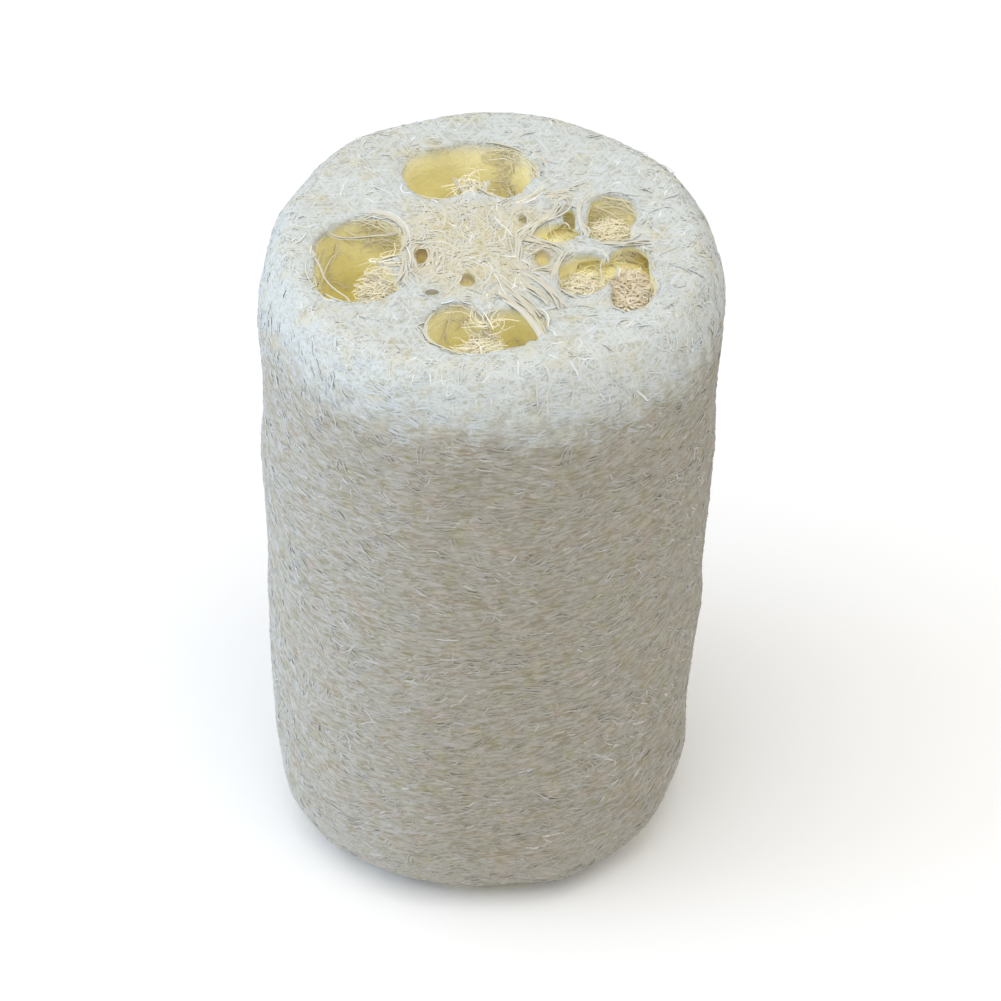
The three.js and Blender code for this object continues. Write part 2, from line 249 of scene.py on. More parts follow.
class LoofahColours(bpy.types.PropertyGroup):
    """Colours of the sponge and its floor."""

    bleached: colour_property("Bleached fibre", "#CBD1D1", "Cut fibres of the ends")
    cream: colour_property("Cream fibre", "#D4D3C8", "Cut fibres that the bleach reached least")
    # partly painted shade: the side's fibre is made darker than the ends' so that the side reads less lit
    # than the top
    side: colour_property("Side fibre", "#B4B2AD", "Most fibres of the side")
    # painted light: the side towards -X is painted paler because the lamps fall on it more
    painted_light_flank: colour_property("Pale flank", "#CCD0CE", "The side towards -X, which the bleach reached most")
    olive: colour_property("Olive stain", "#AFAC90", "Patches of the side that kept some green")
    rose: colour_property("Rose stain", "#BDACA3", "Patches of the side that browned")
    straw: colour_property("Straw fibre", "#ABA597", "Fibres of the side that the bleach reached least")
    # partly painted shade: the side's felt is made darker than the ends' for the same reason
    felt: colour_property("Side felt", "#AEABA3", "Matted fibre under the side's mats")
    end_felt: colour_property("End felt", "#CBD0CE", "Matted fibre under the ends' mats")
    core_felt: colour_property("Core felt", "#CCC5A8", "Matted fibre between the core's strands")
    between: colour_property("Between fibres", "#D2CBB7", "Shade between the felt's fibres")
    lining: colour_property("Chamber lining", "#ECE6BF", "Unbleached walls of the seed chambers")
    deep: colour_property("Deep lining", "#E8E0A4", "The same walls, far from the mouth")
    # painted glow: the chamber walls and their loose fibres emit these two colours in place of daylight
    # through the net
    painted_glow: colour_property("Chamber glow", "#F2E48E", "Daylight that comes through the chambers' walls")
    fibre_painted_glow: colour_property("Fibre glow", "#B5A67C", "Daylight through the chambers' loose fibres")
    # partly painted shade: this darker colour on the small gaps' walls stands for one gap's brown and for
    # shade inside them
    stain: colour_property("Stained lining", "#A88B4E", "Walls of the small gaps in the core")
    loose: colour_property("Loose fibre", "#F1EBD2", "Unbleached fibres in the chambers")
    loose_dark: colour_property("Darker loose fibre", "#E6D9B4", "The darkest of those fibres")
    coarse: colour_property("Coarse fibre", "#E6DFCC", "Coarse fibres in one chamber")
    coarse_dark: colour_property("Darker coarse fibre", "#CCB996", "The darkest of those fibres")
    tan: colour_property("Tan patch", "#D9C9A8", "Patches of the coarse fibres")
    cushion: colour_property("Pad felt", "#EDE7CE", "Felt under the pads of loose fibre")
    cushion_dark: colour_property("Darker pad felt", "#E2DABA", "The darkest of that felt")
    cell_floor: colour_property("Cell floor", "#F0E8B2", "Yellow felt close under two of the cells")
    cell_floor_dark: colour_property("Darker cell floor", "#EAE0A6", "The darkest of that felt")
    web: colour_property("Web", "#D4D4CB", "Smooth strands of the core's web")
    web_dark: colour_property("Darker web", "#D3CCB2", "The darkest of those strands")
    web_patch: colour_property("Web patch", "#D2C8A6", "Patches of the web that the bleach missed")
    floor: colour_property("Floor", "#FCFCFB", "The pale floor")


class Ripple:
    """A smooth random field over points in space: plane waves of about one wavelength and unit strength."""

    def __init__(self, rng, wavelength, waves=24):
        direction = rng.normal(size=(waves, 3))
        direction /= np.linalg.norm(direction, axis=1, keepdims=True)
        self.waves = direction * 2 * np.pi / (wavelength * rng.uniform(0.7, 1.4, (waves, 1)))
        self.phase = rng.uniform(0, 2 * np.pi, waves)

    def __call__(self, points):
        return np.sin(points @ self.waves.T + self.phase).sum(-1) * math.sqrt(2 / len(self.phase))


class Skin:
    """The outside of the sponge by formula, in metres. A way runs up a meridian from the lower edge."""

    # How far a way goes on over the flat of each end, and samples of each shoulder's curve
    END_REACH = 14 * MM
    SAMPLES = 40

    # Low swells all over, and the room that a fibre leaves to the floor
    SWELL = 0.25 * MM
    SWELL_WIDTH = 17 * MM
    SWELL_SEED = 11
    FLOOR_ROOM = 0.15 * MM

    def __init__(self, shape):
        self.shape = shape
        self.swell = Ripple(np.random.default_rng(self.SWELL_SEED), self.SWELL_WIDTH)
        quarter = np.linspace(0, np.pi / 2, self.SAMPLES)
        lower_inset = shape.lower_inset * (1 - np.sin(quarter))
        upper_inset = shape.upper_inset * (1 - np.cos(quarter))
        lowest, highest = shape.lower_inset + self.END_REACH, shape.upper_inset + self.END_REACH
        self.insets = np.concatenate([[lowest], lower_inset, upper_inset, [highest]])
        lower_height = shape.lower_drop * (1 - np.cos(quarter))
        upper_height = shape.length - shape.upper_drop + shape.upper_drop * np.sin(quarter)
        self.heights = np.concatenate([[0], lower_height, upper_height, [shape.length]])
        stretch = np.hypot(np.diff(self.insets), np.diff(self.heights))
        self.ways = np.concatenate([[0], np.cumsum(stretch)]) - self.END_REACH
        self.normal_ways = (self.ways[1:] + self.ways[:-1]) / 2
        self.outward, self.upward = np.diff(self.heights) / stretch, np.diff(self.insets) / stretch
        self.top_way = self.ways[-1] - self.END_REACH
        self.offset = np.zeros(3)
        turn, way = np.meshgrid(np.linspace(-np.pi, np.pi, 181), np.linspace(0, self.top_way, 60))
        outline = self.place(turn, way, 0.0).reshape(-1, 3)
        self.offset = -(outline.min(0) + outline.max(0)) / 2 * (1, 1, 0)

    def side_radius(self, turn, z):
        """Radius of the side at a turn about the axis and a height, without the shoulders."""
        shape = self.shape
        share = z / shape.length
        swell = 1 + shape.taper * (share - 0.5) + shape.belly * (1 - (2 * share - 1) ** 2)
        lobes = 1 + sum(c * np.cos(n * turn) + s * np.sin(n * turn) for n, c, s in OUTLINE)
        return shape.radius * swell * lobes

    def axis_shift(self, z):
        """How far the leaning axis has drifted at a height."""
        return self.shape.lean * (z / self.shape.length - 0.5)

    def radius_at(self, turn, way):
        """Radius at a turn and a way, with the shoulders."""
        z = np.interp(way, self.ways, self.heights)
        return self.side_radius(turn, z) - np.interp(way, self.ways, self.insets)

    def raised(self, points, normals, lift):
        """Points lifted off the skin and its swells, and kept clear of the floor."""
        lift = lift + self.SWELL * (self.swell(points) - 1)
        return np.maximum(points + normals * lift[..., None], (-np.inf, -np.inf, self.FLOOR_ROOM))

    def place(self, turn, way, lift):
        """The point at a turn about the axis and a way up a meridian, lifted off the skin."""
        z = np.interp(way, self.ways, self.heights)
        out = self.radius_at(turn, way)
        axes = np.broadcast_arrays(out * np.cos(turn) + self.axis_shift(z), out * np.sin(turn), z)
        return self.raised(np.stack(axes, -1) + self.offset, self.normal(turn, way), lift)

    def normal(self, turn, way):
        """The direction out of the skin at a turn and a way."""
        outward = np.interp(way, self.normal_ways, self.outward)
        upward = np.interp(way, self.normal_ways, self.upward)
        axes = np.broadcast_arrays(outward * np.cos(turn), outward * np.sin(turn), upward)
        return np.stack(axes, -1)

    def end_place(self, x, y, lift, upper=True):
        """The point over a place in plan on an end, lifted off it, and the normal there."""
        shape = self.shape
        level = shape.length if upper else 0.0
        inset = shape.upper_inset if upper else shape.lower_inset
        drop = shape.upper_drop if upper else shape.lower_drop
        from_axis = x - self.axis_shift(level)
        turn = np.arctan2(y, from_axis)
        edge = self.side_radius(turn, level) - inset
        share = np.clip((np.hypot(from_axis, y) - edge) / inset, 0, 0.999)
        depth = drop * (1 - np.sqrt(1 - share**2))
        points = np.stack([x, y, level - depth if upper else depth], -1) + self.offset
        tilt = np.arctan2(drop * share / inset, np.sqrt(1 - share**2))
        upward = np.cos(tilt) if upper else -np.cos(tilt)
        normal = np.stack([np.sin(tilt) * np.cos(turn), np.sin(tilt) * np.sin(turn), upward], -1)
        return self.raised(points, normal, lift), normal


def chamber_reach(chamber, direction):
    """Distance from a chamber's middle to its wall along a direction."""
    across = np.abs(np.cos(direction) / (chamber["half_x"] * MM)) ** chamber["full"]
    along = np.abs(np.sin(direction) / (chamber["half_y"] * MM)) ** chamber["full"]
    turned = (direction - math.radians(chamber["toward"]) + np.pi) % (2 * np.pi) - np.pi
    notch = chamber["depth"] * np.exp(-((turned / math.radians(chamber["width"])) ** 2))
    return (across + along) ** (-1 / chamber["full"]) * (1 - notch)


def chamber_place(chamber, direction, grow=0.0):
    """The point in plan on a chamber's wall along a direction, or outside it by grow."""
    reach = chamber_reach(chamber, direction) + grow
    return chamber["x"] * MM + reach * np.cos(direction), chamber["y"] * MM + reach * np.sin(direction)


def room_to_gaps(x, y):
    """About how far places in plan are outside the nearest small gap, or inside it where that is negative.

    The second value is how dark that gap's walls are made, partly stain and partly painted shade.
    """
    room, stain = np.full(np.shape(x), np.inf), np.zeros(np.shape(x))
    for gap_x, gap_y, half_x, half_y, _, gap_stain in CORE_GAPS:
        own = (np.hypot((x / MM - gap_x) / half_x, (y / MM - gap_y) / half_y) - 1) * half_x * MM
        stain = np.where(own < room, gap_stain, stain)
        room = np.minimum(room, own)
    return room, stain


def room_to_chambers(x, y, chambers):
    """How far places in plan are outside the nearest chamber or cell. It is negative inside one."""
    room = np.full(np.shape(x), np.inf)
    for chamber in chambers:
        dx, dy = x - chamber["x"] * MM, y - chamber["y"] * MM
        room = np.minimum(room, np.hypot(dx, dy) - chamber_reach(chamber, np.arctan2(dy, dx)))
    return room


def clear_of_mouths(xs, ys, mouths):
    """How far places in plan are outside every mouth and every small gap."""
    return np.minimum(room_to_chambers(xs, ys, mouths), room_to_gaps(xs, ys)[0])


def ring_faces(ring_index):
    """Faces of closed tubes whose point numbers have the shape (tubes, rings, points round a ring)."""
    after = np.roll(ring_index, -1, axis=2)
    sides = np.stack([ring_index[:, :-1], after[:, :-1], after[:, 1:], ring_index[:, 1:]], -1).reshape(-1, 4)
    caps = np.concatenate([ring_index[:, 0, ::-1], ring_index[:, -1]])
    return sides.tolist() + caps.tolist()


def lump_faces(rows):
    """Faces of one closed lump through rings of points of the shape (rings, points round a ring, 3)."""
    return ring_faces(np.arange(rows.shape[0] * rows.shape[1]).reshape(1, *rows.shape[:2]))


def unit(vectors):
    """Vectors of length 1."""
    return vectors / (np.linalg.norm(vectors, axis=-1, keepdims=True) + 1e-12)


def tubes(paths, radii, over, corners=3, flat=1.0):
    """Points, faces and normals of closed tubes along paths of shape (tubes, points, 3), with radii there.

    Over gives the directions out of the mat that the tubes lie in. An edge of each tube points that way, so
    that no face overhangs, and the normals lean to it, so that thin fibres catch the light as softly as the
    mat. Flat is thickness over width.
    """
    over = np.broadcast_to(over, paths.shape)
    along = unit(np.gradient(paths, axis=1))
    aside = unit(np.cross(over, along) + 1e-6)
    across = np.cross(along, aside)
    turn = np.pi / 2 + 2 * np.pi * np.arange(corners) / corners
    ring = aside[:, :, None] * np.cos(turn)[:, None] + flat * across[:, :, None] * np.sin(turn)[:, None]
    points = paths[:, :, None] + ring * radii[:, :, None, None]
    index = np.arange(points.size // 3).reshape(points.shape[:3])
    normals = unit((1 - FUZZ_SHARE) * ring + FUZZ_SHARE * over[:, :, None])
    return points.reshape(-1, 3), ring_faces(index), normals.reshape(-1, 3)


def joined(parts):
    """Several lots of points, faces and normals as one."""
    points, faces, normals, start = [], [], [], 0
    for some_points, some_faces, some_normals in parts:
        points.append(some_points)
        faces += [[i + start for i in face] for face in some_faces]
        normals.append(some_normals)
        start += len(some_points)
    return np.concatenate(points), faces, np.concatenate(normals)


def new_mesh_object(name, points, faces, normals=None):
    """A smooth mesh in the scene, with its own normals where they are given."""
    mesh = bpy.data.meshes.new(name)
    mesh.from_pydata(points.tolist(), [], faces)
    mesh.shade_smooth()
    if normals is not None:
        mesh.normals_split_custom_set_from_vertices(normals.tolist())
    piece = bpy.data.objects.new(name, mesh)
    bpy.context.scene.collection.objects.link(piece)
    return piece


def finish_piece(piece, material):
    """Gives a piece its material, and lets it ride on the sponge's body."""
    piece.data.materials.clear()
    piece.data.materials.append(material)
    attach(piece, BODY)


def add_node(material, kind, settings=None, inputs=None, stops=()):
    """Adds a shader node, sets its options and colour stops, and joins its inputs to sockets or values."""
    tree = material.node_tree
    node = tree.nodes.new("ShaderNode" + kind)
    for name, value in (settings or {}).items():
        setattr(node, name, value)
    for place, value in (inputs or {}).items():
        if isinstance(value, bpy.types.NodeSocket):
            tree.links.new(value, node.inputs[place])
        else:
            node.inputs[place].default_value = value
    for number, (at, colour) in enumerate(stops):
        ramp = node.color_ramp.elements
        element = ramp[number] if number < 2 else ramp.new(at)
        element.position = at
        element.color = colour
    return node


def new_material(name):
    """A material with no nodes yet."""
    material = bpy.data.materials.new(name)
    material.use_nodes = True
    material.node_tree.nodes.clear()
    return material


def finish_material(material, surface):
    """Gives a material its surface, as the values of its shader."""
    shader = add_node(material, "BsdfPrincipled", inputs=surface)
    add_node(material, "OutputMaterial", inputs={"Surface": shader.outputs["BSDF"]})
    return material


def waves_per_metre(millimetres):
    """The scale of a noise texture whose lumps are of a real size."""
    return 1 / (millimetres * MM)


def patches(material, place, size, detail, roughness, low, high, most):
    """A value that climbs from 0 to most in patches of a size in mm, where a noise goes from low to high."""
    noise = {"Vector": place, "Scale": waves_per_metre(size), "Detail": detail, "Roughness": roughness}
    height = add_node(material, "TexNoise", inputs=noise).outputs["Fac"]
    ends = {"From Min": low, "From Max": high, "To Max": most}
    return add_node(material, "MapRange", inputs={"Value": height, **ends}).outputs["Result"]


def end_share(material, place, length, far, near, both=True, ragged=0.0):
    """A value that climbs from 0 to 1 between two depths in mm under the upper end, or under both ends.

    Ragged is how far the edge wanders up and down, in mm, in streaks about 4 mm wide.
    """
    height = add_node(material, "SeparateXYZ", inputs={"Vector": place}).outputs["Z"]
    from_middle = {0: height, 1: length / 2}
    side = add_node(material, "Math", {"operation": "SUBTRACT"}, from_middle).outputs[0]
    if both:
        side = add_node(material, "Math", {"operation": "ABSOLUTE"}, {0: side}).outputs[0]
    if ragged:
        streaks = {"Vector": place, "Scale": waves_per_metre(4), "Detail": 4.0, "Roughness": 0.7}
        creep = add_node(material, "TexNoise", inputs=streaks).outputs["Fac"]
        crept = {0: creep, 1: ragged * MM, 2: side}
        side = add_node(material, "Math", {"operation": "MULTIPLY_ADD"}, crept).outputs[0]
    end = length / 2 + ragged / 2 * MM
    ends = {"From Min": end - far * MM, "From Max": end - near * MM}
    return add_node(material, "MapRange", inputs={"Value": side, **ends}).outputs["Result"]


def upper_paling_and_painted_light(material, place, length, reach):
    """A value that climbs to 1 towards the upper end, about reach mm deep: partly the cut end's whiter fibre,
    partly painted light on the shoulder lit from above.
    """
    soft_edge = 8.5
    return end_share(material, place, length, reach, reach - soft_edge, both=False, ragged=26)


def painted_light_flank_share(material, place):
    """A value that climbs from 0 towards -X, where the side is painted paler as light from that side."""
    across = add_node(material, "SeparateXYZ", inputs={"Vector": place}).outputs["X"]
    ends = {"From Min": -6 * MM, "From Max": -38 * MM, "To Max": 0.55}
    return add_node(material, "MapRange", inputs={"Value": across, **ends}).outputs["Result"]


def fibre_material(name, colours, length):
    """A finish of dried plant fibre, made once for all its pieces.

    Each fibre took the bleach a little differently, one in seven is whiter than the rest, and stained
    patches about 5 mm wide run across many.
    """
    made = bpy.data.materials.get(name)
    if made:
        return made
    *tones, roughness, painted_glow_on, fading = FIBRE_FINISHES[name]
    pale, dark, patch = (getattr(colours, tone) for tone in tones)
    material = new_material(name)
    place = add_node(material, "TexCoord").outputs["Object"]
    island = add_node(material, "NewGeometry").outputs["Random Per Island"]
    darkest = tuple(DARKEST * part for part in dark)
    whitest = tuple(min(1.0, WHITEST * part) for part in pale)
    stops = ((0.0, darkest), (0.85, pale), (0.05, dark), (1.0, whitest))
    own = add_node(material, "ValToRGB", inputs={"Fac": island}, stops=stops).outputs["Color"]
    stained = patches(material, place, 5, 3.0, 0.5, 0.45, 0.75, 0.4)
    tint = add_node(material, "Mix", IN_COLOUR, {0: stained, 6: own, 7: patch}).outputs[2]
    if fading:
        # painted light: paler towards -X, where the lamps fall more
        share = painted_light_flank_share(material, place)
        tint = add_node(material, "Mix", IN_COLOUR, {0: share, 6: tint, 7: colours.painted_light_flank}).outputs[2]
        # paler up the upper shoulder: partly the cut end's whiter fibre, partly painted light from above
        share = upper_paling_and_painted_light(material, place, length, 16.5)
        tint = add_node(material, "Mix", IN_COLOUR, {0: share, 6: tint, 7: colours.bleached}).outputs[2]
    surface = {
        "Base Color": tint,
        "Roughness": roughness,
        "IOR": 1.5,
        "Specular IOR Level": 0.25,
        # painted glow on the fibres inside the chambers
        "Emission Color": colours.fibre_painted_glow if painted_glow_on else BLACK,
        "Emission Strength": PAINTED_GLOW,
    }
    return finish_material(material, surface)


def fibre_piece(name, finish, lots):
    """One piece of several lots of fibres, with a finish of dried fibre."""
    scene = bpy.context.scene
    material = fibre_material(finish, scene.loofah_colours, scene.loofah_shape.length)
    finish_piece(new_mesh_object(name, *joined(lots)), material)


def felt_grain(material, place, length):
    """A value that is high on the felt's fibres and low between them."""
    mapping = {"vector_type": "TEXTURE"}
    # fibres of 0.3 mm that cross three ways on the ends, drawn at 0.6 mm so that they show
    crossing = 0.0
    for turn in (0, 60, 120):
        lie = {"Vector": place, "Rotation": (0.0, 0.0, math.radians(turn)), "Scale": (6.0, 1.0, 1.0)}
        along = add_node(material, "Mapping", mapping, lie).outputs["Vector"]
        noise = {"Vector": along, "Scale": waves_per_metre(0.6), "Detail": 2.0, "Distortion": 0.8}
        strokes = add_node(material, "TexNoise", inputs=noise).outputs["Fac"]
        higher = {0: crossing, 1: strokes}
        crossing = add_node(material, "Math", {"operation": "MAXIMUM"}, higher).outputs[0]
    # the same fibres lie about level round the side, drawn at 0.55 mm and four times as long as wide
    lie = {"Vector": place, "Rotation": (0.14, -0.1, 0.0), "Scale": (4.0, 4.0, 1.0)}
    level = add_node(material, "Mapping", mapping, lie).outputs["Vector"]
    noise = {"Scale": waves_per_metre(0.55), "Detail": 4.0, "Roughness": 0.68, "Distortion": 0.7}
    dashes = add_node(material, "TexNoise", inputs={"Vector": level, **noise}).outputs["Fac"]
    near_end = end_share(material, place, length, 14, 6)
    sides = {0: near_end, 2: dashes, 3: crossing}
    return add_node(material, "Mix", {"data_type": "FLOAT"}, sides).outputs[0]


def end_felt(material, place, colours, length):
    """Colour of the ends' felt: cream in the core, and in patches about 5 mm wide."""
    to_core = {0: place, 1: (-2 * MM, -4 * MM, length)}
    from_core = add_node(material, "VectorMath", {"operation": "DISTANCE"}, to_core).outputs["Value"]
    ends = {"From Min": 15 * MM, "From Max": 9 * MM}
    in_core = add_node(material, "MapRange", inputs={"Value": from_core, **ends}).outputs["Result"]
    tones = {0: in_core, 6: colours.end_felt, 7: colours.core_felt}
    tone = add_node(material, "Mix", IN_COLOUR, tones).outputs[2]
    unbleached = patches(material, place, 5, 3.0, 0.6, 0.52, 0.72, 0.7)
    return add_node(material, "Mix", IN_COLOUR, {0: unbleached, 6: tone, 7: colours.core_felt}).outputs[2]


def side_felt(material, place, colours):
    """Colour of the side's felt: grey, kept darker than the ends partly as painted shade, paler towards -X as
    painted light, with stains a few mm wide.
    """
    tones = {0: painted_light_flank_share(material, place), 6: colours.felt, 7: colours.painted_light_flank}
    tone = add_node(material, "Mix", IN_COLOUR, tones).outputs[2]
    for size, stain, most in ((3.2, colours.olive, 0.5), (4.1, colours.rose, 0.35)):
        stained = patches(material, place, size, 2.0, 0.5, 0.5, 0.7, most)
        tone = add_node(material, "Mix", IN_COLOUR, {0: stained, 6: tone, 7: stain}).outputs[2]
    return tone


def felt_material(colours, length):
    """Felted loofah: crushed fibres too fine to tell apart, so dull, and whitest where the ends were cut.

    The chambers keep the dried fruit's yellow. The net of their walls is open enough for daylight to come
    through, which a closed felt would stop, so the walls carry a painted glow that stands in for that
    daylight.
    """
    material = new_material("felted_loofah_fibre")
    place = add_node(material, "TexCoord").outputs["Object"]
    lined = add_node(material, "Attribute", {"attribute_name": "lined"}).outputs["Fac"]
    stain = add_node(material, "Attribute", {"attribute_name": "stain"}).outputs["Fac"]
    grain = felt_grain(material, place, length)
    end = end_felt(material, place, colours, length)
    tone = side_felt(material, place, colours)
    # the ends' own paler felt, and the upper shoulder paled partly as painted light from above
    for share in (end_share(material, place, length, 2.5, 0.5), upper_paling_and_painted_light(material, place, length, 15.5)):
        tone = add_node(material, "Mix", IN_COLOUR, {0: share, 6: tone, 7: end}).outputs[2]
    near_mouth = {0: end_share(material, place, length, 22, 2), 6: colours.deep, 7: colours.lining}
    walls = add_node(material, "Mix", IN_COLOUR, near_mouth).outputs[2]
    tone = add_node(material, "Mix", IN_COLOUR, {0: lined, 6: tone, 7: walls}).outputs[2]
    # painted shade: the felt is darkened between its fibres by the same grain that gives its bump
    stops = ((0.37, colours.between), (0.62, linear("#FFFFFF")))
    shade = add_node(material, "ValToRGB", inputs={"Fac": grain}, stops=stops).outputs["Color"]
    fading = {"Value": lined, "To Min": 1.0, "To Max": 0.3}
    strength = add_node(material, "MapRange", inputs=fading).outputs["Result"]
    multiply = {**IN_COLOUR, "blend_type": "MULTIPLY"}
    tone = add_node(material, "Mix", multiply, {0: strength, 6: tone, 7: shade}).outputs[2]
    # the small gaps' walls darkened, partly stain and partly painted shade
    tone = add_node(material, "Mix", IN_COLOUR, {0: stain, 6: tone, 7: colours.stain}).outputs[2]
    # painted glow on the chambers' walls
    painted_glow = add_node(material, "Mix", IN_COLOUR, {0: lined, 6: BLACK, 7: colours.painted_glow}).outputs[2]
    relief = {"Height": grain, "Strength": 0.5, "Distance": 0.4 * MM}
    surface = {
        "Base Color": tone,
        "Roughness": 0.9,
        "Specular IOR Level": 0.2,
        "Normal": add_node(material, "Bump", inputs=relief).outputs["Normal"],
        "Emission Color": painted_glow,
        "Emission Strength": PAINTED_GLOW,
    }
    return finish_material(material, surface)


def wandering(rng, heading, length, bend, sway=0.25, points=CURLED_POINTS):
    """Steps along and across for curved fibres, from the middle of each, of shape (fibres, points)."""
    share = np.linspace(-0.5, 0.5, points)
    count = len(heading)
    swing = rng.normal(0, sway, (count, 1))
    swing = swing * np.sin(2 * np.pi * (share * 1.5 + rng.uniform(0, 1, (count, 1))))
    bearing = heading[:, None] + bend[:, None] * share + swing
    step = length[:, None] / (points - 1)
    run, rise = np.cumsum(np.cos(bearing) * step, 1), np.cumsum(np.sin(bearing) * step, 1)
    middle = points // 2
    return run - run[:, middle : middle + 1], rise - rise[:, middle : middle + 1]


def weaving(rng, sink, proud, points=CURLED_POINTS):
    """Lifts of fibres whose ends dive under their neighbours, of shape (fibres, points).

    Sink and proud are arrays of the lifts at the ends and at the middle.
    """
    share = np.linspace(-0.5, 0.5, points)
    arch = np.cos(np.pi * share) ** 0.8
    wave = 0.25 * np.sin(2 * np.pi * (share * 1.3 + rng.uniform(0, 1, (len(proud), 1))))
    return sink[:, None] + (proud - sink)[:, None] * np.clip(arch + wave * arch, 0, 1.05)


def drawn(rng, limits, count):
    """Sizes in metres, drawn evenly between two limits in mm."""
    return rng.uniform(*limits, count) * MM


def fibre_radii(rng, count, thickness, points=CURLED_POINTS):
    """Radii along fibres that thin out towards their ends, of shape (fibres, points)."""
    share = np.linspace(-1, 1, points)
    own = thickness / 2 * rng.lognormal(0, 0.28, count)
    return own[:, None] * (1 - 0.45 * share**2)


def smooth_route(points, count):
    """A smooth curve through a few points, as count points."""
    points = np.asarray(points, float)
    at = np.concatenate([[0], np.cumsum(np.linalg.norm(np.diff(points, axis=0), axis=1))])
    share = np.linspace(0, at[-1], count)
    fits = [np.polyfit(at / at[-1], column, len(points) - 1) for column in points.T]
    return np.stack([np.polyval(fit, share / at[-1]) for fit in fits], -1)


def around(count):
    """Angles of count points round a ring."""
    return np.linspace(-np.pi, np.pi, count, endpoint=False)


def workbench(context, lot):
    """The skin, the values of the fibres, and the random draws for one lot of pieces."""
    scene = context.scene
    rng = np.random.default_rng(scene.loofah_fibres.seed + lot)
    return Skin(scene.loofah_shape), scene.loofah_fibres, rng


